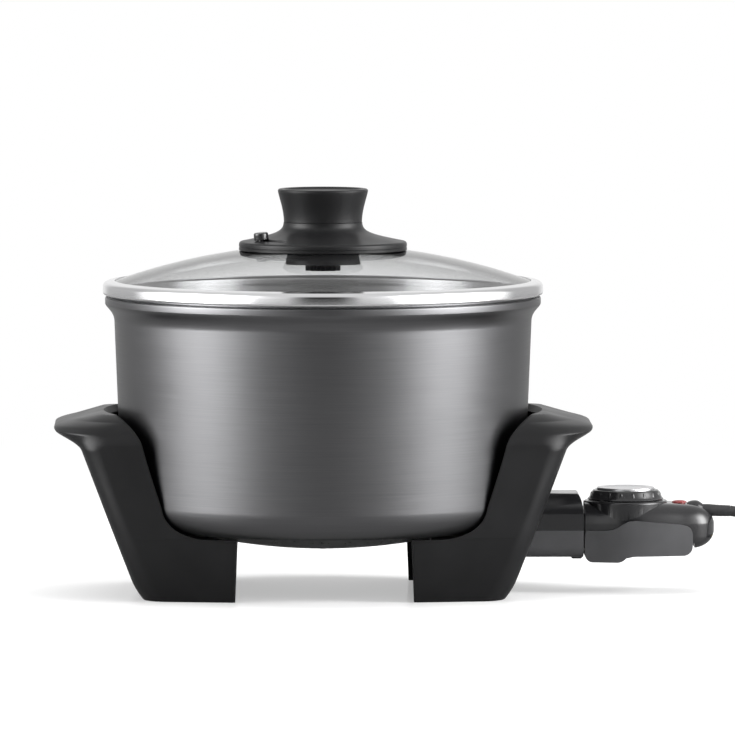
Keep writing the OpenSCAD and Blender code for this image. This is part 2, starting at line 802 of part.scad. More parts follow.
module screw_posts(z0, z1, r) {
    for (p = probe_screw_at)
        translate([p.x, p.y, z0])
            cylinder(h = z1 - z0, r = r);
}

module probe_upper_shell() {
    in_frame()
        color([0.06, 0.06, 0.07])
            difference() {
                union() {
                    intersection() {
                        probe_outside();
                        translate([160, -40, probe_split])
                            cube([120, 80, 40]);
                    }
                    at_dial()
                        translate([0, 0, probe_split])
                            rotate_extrude()
                                polygon([[0, 0], [drum_r, 0], [drum_r, drum_top - probe_split - 1.2],
                                    [drum_r - 1.2, drum_top - probe_split], [0, drum_top - probe_split]]);
                    // Raised collar over the lead's exit
                    translate([0, 0, relief_z]) {
                        rod_x(relief_x - 5.5, relief_x, relief_r + 1, collar_r);
                        rod_x(relief_x, relief_x + 4.5, collar_r, relief_r + 0.4);
                    }
                }
                difference() {
                    union() {
                        intersection() {
                            probe_inside();
                            translate([160, -40, probe_split - 1])
                                cube([120, 80, 40]);
                        }
                        at_dial()
                            translate([0, 0, probe_split - 1])
                                cylinder(h = probe_top - probe_wall - probe_split + 1,
                                    r = drum_r - probe_wall);
                    }
                    screw_posts(probe_split, probe_top - 1, 3.2);
                    at_dial()
                        cylinder(h = 80, r = shaft_r + 2.6);
                }
                at_dial()
                    translate([0, 0, probe_split - 1])
                        cylinder(h = 30, r = shaft_r + fit);
                at_dial()
                    translate([0, 0, probe_split - 1])
                        cylinder(h = 8, r = shaft_r + 3);
                translate([0, 0, relief_z])
                    rod_x(tail_x - 5, probe_reach + 5, relief_r + 0.1);
                translate([lens_x, 0, lens_z - 6])
                    cylinder(h = 12, r = lens_r - 0.9);
                for (p = probe_screw_at)
                    translate([p.x, p.y, probe_split - 1])
                        cylinder(h = 8, r = 1.3);
                translate([probe_x0 - 1, -nose_half - fit, nose_low])
                    cube([6, 2 * nose_half + 2 * fit, nose_top - nose_low - 6]);
            }
}

module probe_lower_shell() {
    in_frame()
        color([0.09, 0.09, 0.1])
            difference() {
                union() {
                    difference() {
                        intersection() {
                            probe_outside();
                            translate([160, -40, 0])
                                cube([120, 80, probe_split]);
                        }
                        // Room for the trigger under the housing
                        translate([197, -40, 0])
                            cube([tail_x + 1.4 - 197, 80, 32.4]);
                        intersection() {
                            probe_inside();
                            translate([160, -40, 0])
                                cube([120, 80, 60]);
                        }
                    }
                    intersection() {
                        probe_outside();
                        union() {
                            translate([196, -40, 32.4])
                                cube([tail_x + 3.8 - 196, 80, 2.2]);
                            translate([196, -40, 29])
                                cube([2, 80, 4.4]);
                            translate([tail_x + 1.4, -40, 29])
                                cube([2.4, 80, 4.4]);
                            screw_posts(28, probe_split - 0.2, 3.2);
                        }
                    }
                }
                translate([trigger_x, 0, trigger_z])
                    rotate([90, 0, 0])
                        cylinder(h = 80, r = trigger_pin_r, center = true);
                for (p = probe_screw_at) {
                    translate([p.x, p.y, 20])
                        cylinder(h = 30, r = 1.6);
                    translate([p.x, p.y, 20])
                        cylinder(h = p.x > trigger_x + 20 ? 14 : 10, r = 3);
                }
                translate([probe_x0 - 1, -nose_half - fit, nose_low])
                    cube([6, 2 * nose_half + 2 * fit, nose_top]);
            }
}

module probe_nose() {
    in_frame()
        color([0.12, 0.12, 0.13])
            difference() {
                along_x(nose_x, probe_x0 + 4)
                    polygon(rounded([-nose_half, nose_low], [nose_half, nose_top - 6], 4, 6));
                for (side = [-1, 1])
                    translate([0, side * pin_y, tube_z])
                        rod_x(nose_x - 1, probe_x0 - 4, 3.45);
                translate([0, 0, rod_z])
                    rod_x(nose_x - 1, probe_x0 + 6, rod_r + fit);
            }
}

module sensor_rod() {
    in_frame()
        color("silver")
            translate([0, 0, rod_z]) {
                rod_x(well_low_x + 6.2, well_low_x + 8, rod_r - 1.6, rod_r);
                rod_x(well_low_x + 8, probe_x0 + 4, rod_r);
                rod_x(probe_x0 + 4, probe_x0 + 7, rod_r + 2);
            }
}

module contact_sleeves() {
    in_frame()
        color("gold")
            for (side = [-1, 1])
                translate([0, side * pin_y, tube_z])
                    difference() {
                        rod_x(nose_x + 1, probe_x0 - 4, 3.4);
                        rod_x(nose_x, pin_end_x + 1.5, pin_r + clear);
                    }
}

module thermostat_frame() {
    in_frame()
        color("lightgray")
            difference() {
                union() {
                    translate([probe_x0 + 7, -12, rod_z - 2.6])
                        cube([44, 24, 1.6]);
                    translate([probe_x0 + 7, -12, rod_z - 2.6])
                        cube([1.6, 24, 9]);
                    // Insulating stack that holds the blades
                    translate([216, -7, rod_z - 1])
                        cube([7, 14, 9]);
                }
                translate([0, 0, rod_z])
                    rod_x(probe_x0 + 6, probe_x0 + 10, 1.6);
            }
}

blade_z = rod_z + 1.6;

module bimetal_blade() {
    in_frame()
        color("tan")
            translate([180, -4, blade_z])
                cube([36, 8, 0.8]);
}

module switch_blades() {
    in_frame()
        color("goldenrod")
            for (k = [0, 1]) {
                translate([192 - 6 * k, -2.5, blade_z + 2.4 + 2.2 * k])
                    cube([24 + 6 * k, 5, 0.5]);
                translate([190, 0, blade_z + 1.4 + 1.8 * k])
                    cylinder(h = 1.1, r = 1.6);
            }
}

module probe_screws() {
    in_frame()
        color("silver")
            for (p = probe_screw_at)
                translate([p.x, p.y, p.x > trigger_x + 20 ? 34 : 30])
                    screw(probe_split + 4 - 34, 2.7, 1.8, 1.3);
}

module indicator_lens() {
    in_frame()
        color([0.75, 0.05, 0.05])
            translate([lens_x, 0, lens_z])
                rotate_extrude()
                    polygon(concat(
                        [[0, -3], [lens_r - 1, -3], [lens_r - 1, 0.3], [lens_r, 0.3], [lens_r, 0.5]],
                        [for (i = [0:4]) let (a = 90 * i / 4)
                            [(lens_r - 0.2) * cos(a), 0.6 + 1.3 * sin(a)]]));
}

module indicator_lamp() {
    in_frame()
        color("orange")
            translate([lens_x, 0, probe_split + 3])
                cylinder(h = lens_z - 3.1 - probe_split - 3, r = 2.5);
}

dial_low = drum_top + 0.4;
dial_top = dial_low + 8;
dial_ribs = 18;

module dial_shaft() {
    in_frame()
        color("silver")
            at_dial()
                translate([0, 0, blade_z + 5.4]) {
                    cylinder(h = dial_low + 4 - blade_z - 5.4, r = shaft_r);
                    cylinder(h = 1.6, r = shaft_r + 1.8);
                }
}

module dial_skirt() {
    in_frame()
        color([0.1, 0.1, 0.11])
            at_dial()
                difference() {
                    union() {
                        rotate_extrude()
                            polygon([[0, dial_low], [dial_r, dial_low], [dial_r, dial_low + 0.9],
                                [dial_r - 1, dial_low + 1.3], [dial_r - 2.9, dial_low + 5.4],
                                [dial_r - 3.6, dial_low + 6.2], [dial_r - 5.6, dial_low + 6.5],
                                [dial_r - 5.6, dial_low + 5], [0, dial_low + 5]]);
                        for (i = [0:dial_ribs - 1])
                            rotate([0, 0, 360 * i / dial_ribs])
                                translate([dial_r - 2.85, 0, dial_low + 0.6])
                                    cylinder(h = 4.4, r1 = 2.15, r2 = 0.75, $fn = 16);
                    }
                    translate([0, 0, dial_low - 1])
                        cylinder(h = 5, r = shaft_r);
                }
}

module dial_cap() {
    cap_r = dial_r - 5.8;
    in_frame()
        color("silver")
            at_dial()
                rotate_extrude()
                    polygon([[0, dial_low + 5], [cap_r, dial_low + 5], [cap_r, dial_top - 0.9],
                        [cap_r - 0.9, dial_top - 0.1], [cap_r - 5, dial_top], [cap_r - 5.4, dial_top - 0.5],
                        [0, dial_top - 0.5]]);
}

// Plan outline of the housing, let out by a distance, from x0 to x1
function plan(x0, x1, out) = concat(
    [for (i = [0:10]) let (x = x0 + (x1 - x0) * i / 10) [x, -probe_half(x) - out]],
    [for (i = [10:-1:0]) let (x = x0 + (x1 - x0) * i / 10) [x, probe_half(x) + out]]);

trigger_gap = 0.7;
// The trigger seen from the front, drawn in by a distance at its lower side
function trigger_floor(in) = concat(
    arc([trigger_x0 + 5.2, trigger_low + 1.2], 5.2 - in, 180, 270, 4),
    arc([190, trigger_low + 4], 8 - in, 270, 320, 4),
    [[200.5, trigger_low + in * 0.9], [224, trigger_low + in]]);
function trigger_side(in) = concat(
    trigger_floor(in),
    arc([trigger_end - 6, trigger_low + 6], 6 - in, 270, 360, 5),
    arc([trigger_end - 6, 38.4], 6 - in, 0, 80, 5));

module trigger() {
    in_frame()
        color([0.35, 0.35, 0.36])
            difference() {
                intersection() {
                    linear_extrude(60)
                        polygon(plan(trigger_x0, trigger_end, trigger_gap + trigger_wall));
                    along_y(-40, 40)
                        polygon(concat(trigger_side(0),
                            [[232, 45.1], [200, 48.2]],
                            curve([[197.5, 48.2], [192, 47.6], [191, 41.6], [183, 41.4]], 6),
                            [[trigger_x0 + 0.5, 41.2], [trigger_x0, 36]]));
                }
                intersection() {
                    linear_extrude(80)
                        polygon(plan(160, trigger_end + 10, trigger_gap));
                    along_y(-40, 40)
                        polygon(concat(trigger_floor(trigger_wall),
                            [[trigger_end + 5, trigger_low + trigger_wall], [trigger_end + 5, 70]],
                            [[150, 70], [150, 26], [170, 26]]));
                }
                translate([trigger_x, 0, trigger_z])
                    rotate([90, 0, 0])
                        cylinder(h = 2 * trigger_pin_half + 0.2, r = trigger_pin_r + fit, center = true);
            }
}

module trigger_pin() {
    in_frame()
        color("silver")
            translate([trigger_x, 0, trigger_z])
                rotate([90, 0, 0])
                    cylinder(h = 2 * trigger_pin_half, r = trigger_pin_r - 0.02, center = true);
}

// Rings of a tube along a path; each ring is square to the path there
function unit(v) = v / norm(v);
function along(path, i) = unit(path[min(i + 1, len(path) - 1)] - path[max(i - 1, 0)]);
function tube_rings(path, r, sides, up) = [for (i = [0:len(path) - 1])
    let (t = along(path, i), u = unit(cross(up, t)), v = cross(t, u))
    [for (k = [0:sides - 1]) let (a = 360 * (k + 0.5) / sides) path[i] + r * (cos(a) * u + sin(a) * v)]];

module tube(path, r, sides, up = [0, 0, 1]) {
    rings = tube_rings(path, r, sides, up);
    loft([for (ring = rings) [for (k = [sides - 1:-1:0]) ring[k]]]);
}

// Least gap of a tube to itself, between points that are some steps apart or more
function own_gap(path, r, steps) =
    min([for (i = [0:len(path) - 1 - steps], j = [i + steps:len(path) - 1])
        norm(path[i] - path[j])]) - 2 * r;

spring_x = 226;
spring_low = trigger_low + trigger_wall + 0.25;
spring_top = 32.4 - 0.05;
spring_turns = 3;
spring_wire = 0.45;

spring_r = 3.6;
spring_steps = 12;
spring_rise = spring_top - spring_low - 2 * spring_wire;
spring_path = [for (i = [0:spring_steps * spring_turns])
    let (a = 360 * i / spring_steps, z = spring_rise * i / (spring_steps * spring_turns))
    [spring_x + spring_r * cos(a), spring_r * sin(a), spring_low + spring_wire + z]];

module trigger_spring() {
    in_frame()
        color("silver")
            tube(spring_path, spring_wire, 6);
}

// Lead: it leaves the relief, comes down to the table and runs on to its coil
relief_end = 265;
lie_z = lead_r + 0.05;
route = [[265.2, 0, 52.2], [279, 0, 50], [293, 0, 45.5], [306, 0, 38.5], [318, 0, 30], [329, 0, 21.5],
    [341, 0, 14], [354, 0, 8], [368, 0, 4.4], [382, 0, lie_z], [387, 0, lie_z]];
coil_pitch = 2 * lead_r + 0.6;
layer_rise = 2 * lead_r + 0.7;
coil_steps = 24;
coil_run_out = 26;

module strain_relief() {
    line = [[relief_x - 4, 0, relief_z], [probe_reach - 4, 0, relief_z],
        [probe_reach + 3, 0, relief_z - 0.4], [relief_end, 0, route[0].z]];
    wide = tube_rings(line, relief_r, 16, [0, 1, 0]);
    slim = tube_rings(line, lead_r + 0.15, 16, [0, 1, 0]);
    in_frame()
        color([0.1, 0.1, 0.1])
            loft([for (i = [0:3]) backwards(i < 3 ? wide[i] : slim[i])]);
}

module lead() {
    in_frame()
        color([0.2, 0.2, 0.2])
            tube(route, lead_r, 10);
}

// Distance from the coil's axis and height of the lead after a number of turns
function coil_reach(n) = coil_r + coil_pitch * coil_turns / 2 - coil_pitch * (
    n < coil_turns ? n
    : n < coil_turns + 0.5 ? coil_turns + (1 - cos(720 * (n - coil_turns))) / 2
    : 2 * coil_turns + 0.5 - n);
coil_at = [395, coil_reach(0), 0];
function coil_height(n) = lie_z + layer_rise * (n < coil_turns ? 0 : n > coil_turns + 0.5 ? 1
    : (1 - cos(360 * (n - coil_turns))) / 2);
function coil_point(n) = coil_at + [
    coil_reach(n) * cos(360 * n - 90), coil_reach(n) * sin(360 * n - 90), coil_height(n)];
coil_n = 2 * coil_turns + 0.5;
coil_path = concat(
    [[route[10].x, coil_point(0).y, lie_z]],
    [for (i = [0:coil_n * coil_steps]) coil_point(i / coil_steps)],
    [coil_point(coil_n) - [coil_run_out, 0, 0]]);

module lead_coil() {
    in_frame()
        color([0.2, 0.2, 0.2])
            tube(coil_path, lead_r, 6);
}

echo(
    lead_coil_gap = own_gap(coil_path, lead_r, 6),
    trigger_spring_gap = own_gap(spring_path, spring_wire, 4));

plug_x = coil_path[len(coil_path) - 1].x;
plug_y = coil_path[len(coil_path) - 1].y;
plug_z = coil_height(coil_n);

module plug_body() {
    in_frame()
        color([0.1, 0.1, 0.1])
            translate([plug_x, plug_y, plug_z]) {
                rotate([0, -90, 0])
                    cylinder(h = 22, r1 = lead_r + 0.4, r2 = 6);
                translate([-46, 0, 0])
                    along_x(0, 27)
                        polygon(rounded([-15, -plug_z], [15, plug_z], 6, 6));
            }
}

module plug_pins() {
    in_frame()
        color("silver")
            translate([plug_x - 46, plug_y, plug_z]) {
                for (side = [-1, 1])
                    translate([-17, side * 7.9, 2.6])
                        rotate([side * 30, 0, 0])
                            translate([0, -0.8, -3.2])
                                cube([17, 1.6, 6.4]);
                translate([-17, -0.8, -10])
                    cube([17, 1.6, 6.4]);
            }
}

pot();
base_cover();
cover_screw();
heating_element();
terminal_pins();
leg_left();
leg_right();
leg_screws();
socket_hood();
socket_cradle();
socket_screws();
lid_glass();
lid_rim();
knob_base();
knob_grip();
steam_lever();
glass_gasket();
under_washer();
clamp_nut();
knob_screw();
probe_upper_shell();
probe_lower_shell();
probe_nose();
sensor_rod();
contact_sleeves();
thermostat_frame();
bimetal_blade();
switch_blades();
probe_screws();
indicator_lens();
indicator_lamp();
dial_shaft();
dial_skirt();
dial_cap();
trigger();
trigger_pin();
trigger_spring();
strain_relief();
lead();
lead_coil();
plug_body();
plug_pins();
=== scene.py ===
"""Looks of an electric multicooker: finishes, smooth mouldings, lead, studio and camera.

Shapes are drawn in millimetres about the pot's axis and put into the frame by Bench.fit().
"""

import logging
import math
from collections.abc import Callable, Iterable, Sequence
from dataclasses import dataclass
from enum import Enum

import bmesh
import bpy
from mathutils import Matrix, Vector

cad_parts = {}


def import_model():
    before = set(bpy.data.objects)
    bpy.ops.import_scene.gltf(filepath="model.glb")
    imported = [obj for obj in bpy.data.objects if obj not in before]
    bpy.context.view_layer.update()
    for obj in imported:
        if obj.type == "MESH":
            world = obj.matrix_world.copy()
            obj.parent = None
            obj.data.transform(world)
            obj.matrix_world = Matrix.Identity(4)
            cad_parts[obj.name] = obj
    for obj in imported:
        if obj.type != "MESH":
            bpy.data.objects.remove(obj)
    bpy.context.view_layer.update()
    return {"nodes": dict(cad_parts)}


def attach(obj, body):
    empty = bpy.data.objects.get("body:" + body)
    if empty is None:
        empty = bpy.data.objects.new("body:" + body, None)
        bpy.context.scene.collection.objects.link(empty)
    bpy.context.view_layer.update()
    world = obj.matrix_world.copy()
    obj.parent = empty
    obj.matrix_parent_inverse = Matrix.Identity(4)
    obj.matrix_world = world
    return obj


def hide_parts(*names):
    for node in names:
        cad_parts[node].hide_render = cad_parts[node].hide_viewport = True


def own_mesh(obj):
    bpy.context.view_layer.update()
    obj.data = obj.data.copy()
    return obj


log = logging.getLogger("cooker")

Pair = tuple[float, float]
Point = tuple[float, float, float]
Colour = tuple[float, float, float]
Shape = bmesh.types.BMesh
Wire = bpy.types.NodeSocket

MM = 0.001
# Place of the pot's axis in the frame, in millimetres
SHIFT = -40.0
WHITE = (1.0, 1.0, 1.0, 1.0)
# The part of a noise's values that carries most of its area
MIDDLE = (0.3, 0.7)
# Bosses under the pot, in plan, and the heights of their lower ends
LEG_BOSSES = ((96, 50), (96, -50), (-96, 50), (-96, -50))
SOCKET_BOSSES = ((104, 29), (104, -29))
LEG_BOSS_Z = 34.5
SOCKET_BOSS_Z = 30
PLATE_HOLE_R = 2.2
HOUSING_SCREWS = ((190, -19.5, 30), (190, 19.5, 30), (243, 0, 34))
# Opening of the housing for the nose: its low corner, and its high one in plan
NOSE_LOW = (169, -19.05, 29)
NOSE_HIGH = (175, 19.05)


class Slot(Enum):
    """Material slots of the record."""

    POT = "cast_pot"
    BLACK = "phenolic"
    GLOSS = "gloss_black"
    GREY = "satin_grey"
    RIM = "lid_steel"
    STEEL = "plain_steel"
    GLASS = "dome_glass"
    CUP = "cup_grey"
    GASKET = "gasket"
    SHEATH = "sheath"
    BRASS = "brass"
    CAP = "cap_silver"
    LENS = "red_lens"
    LAMP = "lamp"
    CORD = "cord"


class Body(Enum):
    """Bodies that pieces move with."""

    BASE = "base"
    LID = "lid"
    LEVER = "lever"
    CONTROL = "control"
    DIAL = "dial"
    TRIGGER = "trigger"


class Join(Enum):
    """Ways to combine two closed shapes."""

    ADD = "UNION"
    CUT = "DIFFERENCE"
    KEEP = "INTERSECT"


class Board:
    """A node tree, with short ways to add nodes."""

    def __init__(self, owner: bpy.types.Material | bpy.types.World) -> None:
        """Start a tree that holds only its output.

        Args:
            owner: The material or world of the tree.
        """
        owner.use_nodes = True
        self.owner = owner
        self.tree = owner.node_tree
        self.tree.nodes.clear()
        kind = "OutputMaterial" if isinstance(owner, bpy.types.Material) else "OutputWorld"
        self.output = self.add(kind).inputs["Surface"]

    def add(self, kind: str, inputs: dict[str | int, object] | None = None,
            **values: object) -> bpy.types.Node:
        """Add a node.

        Args:
            kind: The node's type name after ShaderNode.
            inputs: Wires and constants for its inputs, by name or number.
            **values: Its properties.

        Returns:
            The new node.
        """
        node = self.tree.nodes.new("ShaderNode" + kind)
        for key, value in values.items():
            setattr(node, key, value)
        for key, value in (inputs or {}).items():
            if isinstance(value, Wire):
                self.tree.links.new(value, node.inputs[key])
            else:
                node.inputs[key].default_value = value
        return node

    def end(self, wire: Wire) -> None:
        """Send a shader to the output."""
        self.tree.links.new(wire, self.output)

    def place(self, axis_x: float = 0.0, scale: Point = (1, 1, 1)) -> Wire:
        """Object coordinates, centred on an upright axis and scaled.

        Args:
            axis_x: The axis's place in X, in metres.
            scale: Factor on each axis.

        Returns:
            The vector.
        """
        where = self.add("TexCoord").outputs["Object"]
        inputs = {"Vector": where, "Location": (-axis_x * scale[0], 0, 0), "Scale": scale}
        return self.add("Mapping", inputs, vector_type="POINT").outputs[0]

    def math(self, operation: str, *terms: Wire | float) -> Wire:
        """Result of a math node over wires and numbers."""
        return self.add("Math", dict(enumerate(terms)), operation=operation).outputs[0]

    def reach(self, x: Wire, y: Wire) -> Wire:
        """Distance from the origin in plan."""
        squares = [self.math("MULTIPLY", part, part) for part in (x, y)]
        return self.math("SQRT", self.math("ADD", *squares))

    def noise(self, where: Wire, scale: float, detail: float = 3.0) -> Wire:
        """Noise value at a place."""
        inputs = {"Vector": where, "Scale": scale, "Detail": detail}
        return self.add("TexNoise", inputs).outputs["Fac"]

    def span(self, value: Wire, low: float, high: float, source: Pair = MIDDLE,
             kind: str = "LINEAR") -> Wire:
        """Spread a value over a range.

        Args:
            value: The value.
            low: Result at the source's start.
            high: Result at the source's end.
            source: The part of the value's range that is spread.
            kind: Interpolation.

        Returns:
            The result.
        """
        inputs = {"Value": value, "From Min": source[0], "From Max": source[1], "To Min": low,
                  "To Max": high}
        return self.add("MapRange", inputs, interpolation_type=kind).outputs[0]

    def ramp(self, value: Wire, spots: Sequence[tuple[float, Colour]]) -> bpy.types.Node:
        """Add a colour ramp.

        Args:
            value: The value.
            spots: Place and colour of each spot, in order.

        Returns:
            The ramp's node.
        """
        node = self.add("ValToRGB", {0: value})
        marks = node.color_ramp.elements
        for place, colour in spots[1:-1]:
            marks.new(place).color = (*colour, 1.0)
        for mark, (place, colour) in ((marks[0], spots[0]), (marks[-1], spots[-1])):
            mark.position, mark.color = place, (*colour, 1.0)
        return node

    def tint(self, value: Wire, colour: Colour, low: float, high: float) -> Wire:
        """A colour that a noise makes darker and lighter, between two factors."""
        shades = [tuple(min(1.0, part * factor) for part in colour) for factor in (low, high)]
        return self.ramp(value, list(zip(MIDDLE, shades))).outputs[0]

    def bump(self, height: Wire, depth: float) -> Wire:
        """Normal for a height, whose 1 is a depth in metres."""
        return self.add("Bump", {"Height": height, "Distance": depth}).outputs[0]

    def turned(self, axis_x: float, around: float = 0.0012) -> Wire:
        """Coordinates that change quickly across turning marks and slowly along them.

        Args:
            axis_x: The turning axis's place in X, in metres.
            around: Metres on the pattern for each radian round the axis.

        Returns:
            The vector.
        """
        x, y, z = self.add("SeparateXYZ", {0: self.place(axis_x)}).outputs
        along = self.math("MULTIPLY", self.math("ARCTAN2", y, x), around)
        return self.add("CombineXYZ", {0: along, 1: self.reach(x, y), 2: z}).outputs[0]

    def mix(self, share: Wire | float, first: Wire, second: Wire) -> Wire:
        """Two shaders mixed by the second one's share."""
        return self.add("MixShader", {0: share, 1: first, 2: second}).outputs[0]

    def mirrored(self) -> Wire:
        """1 for a ray that a shiny surface has thrown back, otherwise 0."""
        return self.math("MINIMUM", self.add("LightPath").outputs["Glossy Depth"], 1.0)

    def looked_at(self) -> Wire:
        """1 for a ray that the camera sees directly or through glass, otherwise 0.

        Returns:
            The value.
        """
        path = self.add("LightPath").outputs
        bounced = self.math("ADD", path["Glossy Depth"], path["Diffuse Depth"])
        through = self.math("SUBTRACT", path["Is Transmission Ray"],
                            self.math("MINIMUM", bounced, 1.0))
        return self.math("MAXIMUM", path["Is Camera Ray"], through)


@dataclass(frozen=True)
class Finish:
    """A material of one principled shader."""

    name: str

    def paint(self, board: Board) -> dict[str | int, object]:
        """Wires and constants for the shader's inputs."""
        raise NotImplementedError

    def make(self) -> bpy.types.Material:
        """Build the material.

        Returns:
            The material.
        """
        board = Board(bpy.data.materials.new(self.name))
        board.end(board.add("BsdfPrincipled", self.paint(board)).outputs[0])
        return board.owner


@dataclass(frozen=True)
class Moulding(Finish):
    """Moulded plastic: faint grain, uneven gloss."""

    colour: Colour
    roughness: float = 0.35
    grain: float = 1400.0
    depth: float = 0.00002
    coat: float = 0.0
    shine: float = 0.5
    cloud: float = 45.0
    uneven: Pair = (0.9, 1.12)

    def paint(self, board: Board) -> dict[str | int, object]:
        """Wires and constants for the shader's inputs.

        Args:
            board: The material's tree.

        Returns:
            The inputs by name.
        """
        cloud = board.noise(board.place(), self.cloud)
        low, high = (self.roughness * factor for factor in self.uneven)
        return {"Coat Weight": self.coat, "Coat Roughness": 0.1, "Specular IOR Level": self.shine,
                "Base Color": board.tint(cloud, self.colour, *self.uneven),
                "Roughness": board.span(cloud, low, high),
                "Normal": board.bump(board.noise(board.place(), self.grain, 2.0), self.depth)}


@dataclass(frozen=True)
class Turned(Finish):
    """Metal worked round an upright axis, with fine marks along the turn."""

    colour: Colour
    axis_x: float
    roughness: float
    marks: float
    depth: float
    contrast: float
    cloud: float = 14.0
    cloud_share: float = 0.2
    uneven: float = 0.15

    def paint(self, board: Board) -> dict[str | int, object]:
        """Wires and constants for the shader's inputs.

        Args:
            board: The material's tree.

        Returns:
            The inputs by name.
        """
        marks = board.noise(board.turned(self.axis_x), self.marks, 4.0)
        cloud = board.noise(board.place(self.axis_x), self.cloud)
        mixed = board.math("ADD", board.math("MULTIPLY", marks, 1 - self.cloud_share),
                           board.math("MULTIPLY", cloud, self.cloud_share))
        low, high = (self.roughness * (1 + side * self.uneven) for side in (-1, 1))
        return {"Metallic": 1.0,
                "Base Color": board.tint(mixed, self.colour, 1 - self.contrast,
                                         1 + self.contrast),
                "Roughness": board.span(mixed, low, high),
                "Normal": board.bump(marks, self.depth)}


@dataclass(frozen=True)
class Metal(Finish):
    """Plain or plated metal with small clouds in its polish."""

    colour: Colour
    roughness: float = 0.25
    contrast: float = 0.1
    cloud: float = 220.0
    grain: float = 900.0
    depth: float = 0.000002
    uneven: Pair = (0.8, 1.3)

    def paint(self, board: Board) -> dict[str | int, object]:
        """Wires and constants for the shader's inputs.

        Args:
            board: The material's tree.

        Returns:
            The inputs by name.
        """
        cloud = board.noise(board.place(), self.cloud)
        low, high = (self.roughness * factor for factor in self.uneven)
        return {"Metallic": 1.0,
                "Base Color": board.tint(cloud, self.colour, 1 - self.contrast,
                                         1 + self.contrast),
                "Roughness": board.span(cloud, low, high),
                "Normal": board.bump(board.noise(board.place(), self.grain), self.depth)}


@dataclass(frozen=True)
class Coat(Finish):
    """Dark non-stick coat with a fine fleck."""

    colour: Colour = (0.035, 0.035, 0.037)
    fleck: Colour = (0.11, 0.11, 0.112)
    fleck_scale: float = 1100.0
    fleck_power: float = 3.0
    fleck_gain: float = 2.6
    roughness: Pair = (0.42 * 0.85, 0.42 * 1.1)
    cloud: float = 30.0
    grain: float = 800.0
    depth: float = 0.00002

    def paint(self, board: Board) -> dict[str | int, object]:
        """Wires and constants for the shader's inputs.

        Args:
            board: The material's tree.

        Returns:
            The inputs by name.
        """
        fleck = board.math("POWER", board.noise(board.place(), self.fleck_scale, 1.0),
                           self.fleck_power)
        spots = list(zip(MIDDLE, (self.colour, self.fleck)))
        return {"Base Color": board.ramp(board.math("MULTIPLY", fleck, self.fleck_gain),
                                         spots).outputs[0],
                "Roughness": board.span(board.noise(board.place(), self.cloud), *self.roughness),
                "Normal": board.bump(board.noise(board.place(), self.grain), self.depth)}


@dataclass(frozen=True)
class Clear(Finish):
    """Glass or clear plastic."""

    colour: Colour
    roughness: float = 0.0
    ior: float = 1.45
    transmission: float = 1.0
    cloud: float = 20.0
    uneven: float = 0.01

    def paint(self, board: Board) -> dict[str | int, object]:
        """Wires and constants for the shader's inputs.

        Args:
            board: The material's tree.

        Returns:
            The inputs by name.
        """
        cloud = board.noise(board.place(), self.cloud)
        return {"Base Color": (*self.colour, 1.0), "Transmission Weight": self.transmission,
                "IOR": self.ior,
                "Roughness": board.span(cloud, self.roughness, self.roughness + self.uneven)}


@dataclass(frozen=True)
class Sleeve(Finish):
    """Flexible cord sleeve: matt, with fine rings from the extruder."""

    colour: Colour = (0.02, 0.02, 0.021)
    roughness: float = 0.5
    cloud: float = 60.0
    rings: float = 1800.0
    ring_scale: Point = (1, 0.2, 0.2)
    depth: float = 0.00003

    def paint(self, board: Board) -> dict[str | int, object]:
        """Wires and constants for the shader's inputs.

        Args:
            board: The material's tree.

        Returns:
            The inputs by name.
        """
        cloud = board.noise(board.place(), self.cloud)
        rings = board.noise(board.place(scale=self.ring_scale), self.rings, 2.0)
        return {"Base Color": board.tint(cloud, self.colour, 0.85, 1.25),
                "Roughness": board.span(cloud, self.roughness * 0.85, self.roughness * 1.15),
                "Normal": board.bump(rings, self.depth)}


def round_point(radius: float, degrees: float) -> Pair:
    """Point at a radius and an angle."""
    turn = math.radians(degrees)
    return radius * math.cos(turn), radius * math.sin(turn)


def arc(centre: Pair, radius: float, start: float, end: float, steps: int) -> list[Pair]:
    """Points along an arc, both ends included; angles are in degrees."""
    made = [round_point(radius, start + (end - start) * i / steps) for i in range(steps + 1)]
    return [(centre[0] + x, centre[1] + y) for x, y in made]


def curve(a: Pair, b: Pair, c: Pair, d: Pair, steps: int) -> list[Pair]:
    """Points along a cubic curve, both ends included.

    Args:
        a: Start.
        b: First handle.
        c: Second handle.
        d: End.
        steps: Number of steps.

    Returns:
        The points.
    """
    made = []
    for i in range(steps + 1):
        t = i / steps
        u = 1 - t
        weights = (u ** 3, 3 * u * u * t, 3 * u * t * t, t ** 3)
        made.append(tuple(sum(w * p[k] for w, p in zip(weights, (a, b, c, d))) for k in (0, 1)))
    return made


def look_up(x: float, table: Sequence[Pair], ease: bool = False) -> float:
    """Value of a table at x.

    Args:
        x: Where to read.
        table: Pairs of place and value, in order.
        ease: Whether the value leaves and reaches each pair level.

    Returns:
        The value, which is the end's value outside the table.
    """
    if x <= table[0][0]:
        return table[0][1]
    for (x0, y0), (x1, y1) in zip(table, table[1:]):
        if x <= x1:
            t = (x - x0) / (x1 - x0)
            return y0 + (y1 - y0) * (t * t * (3 - 2 * t) if ease else t)
    return table[-1][1]


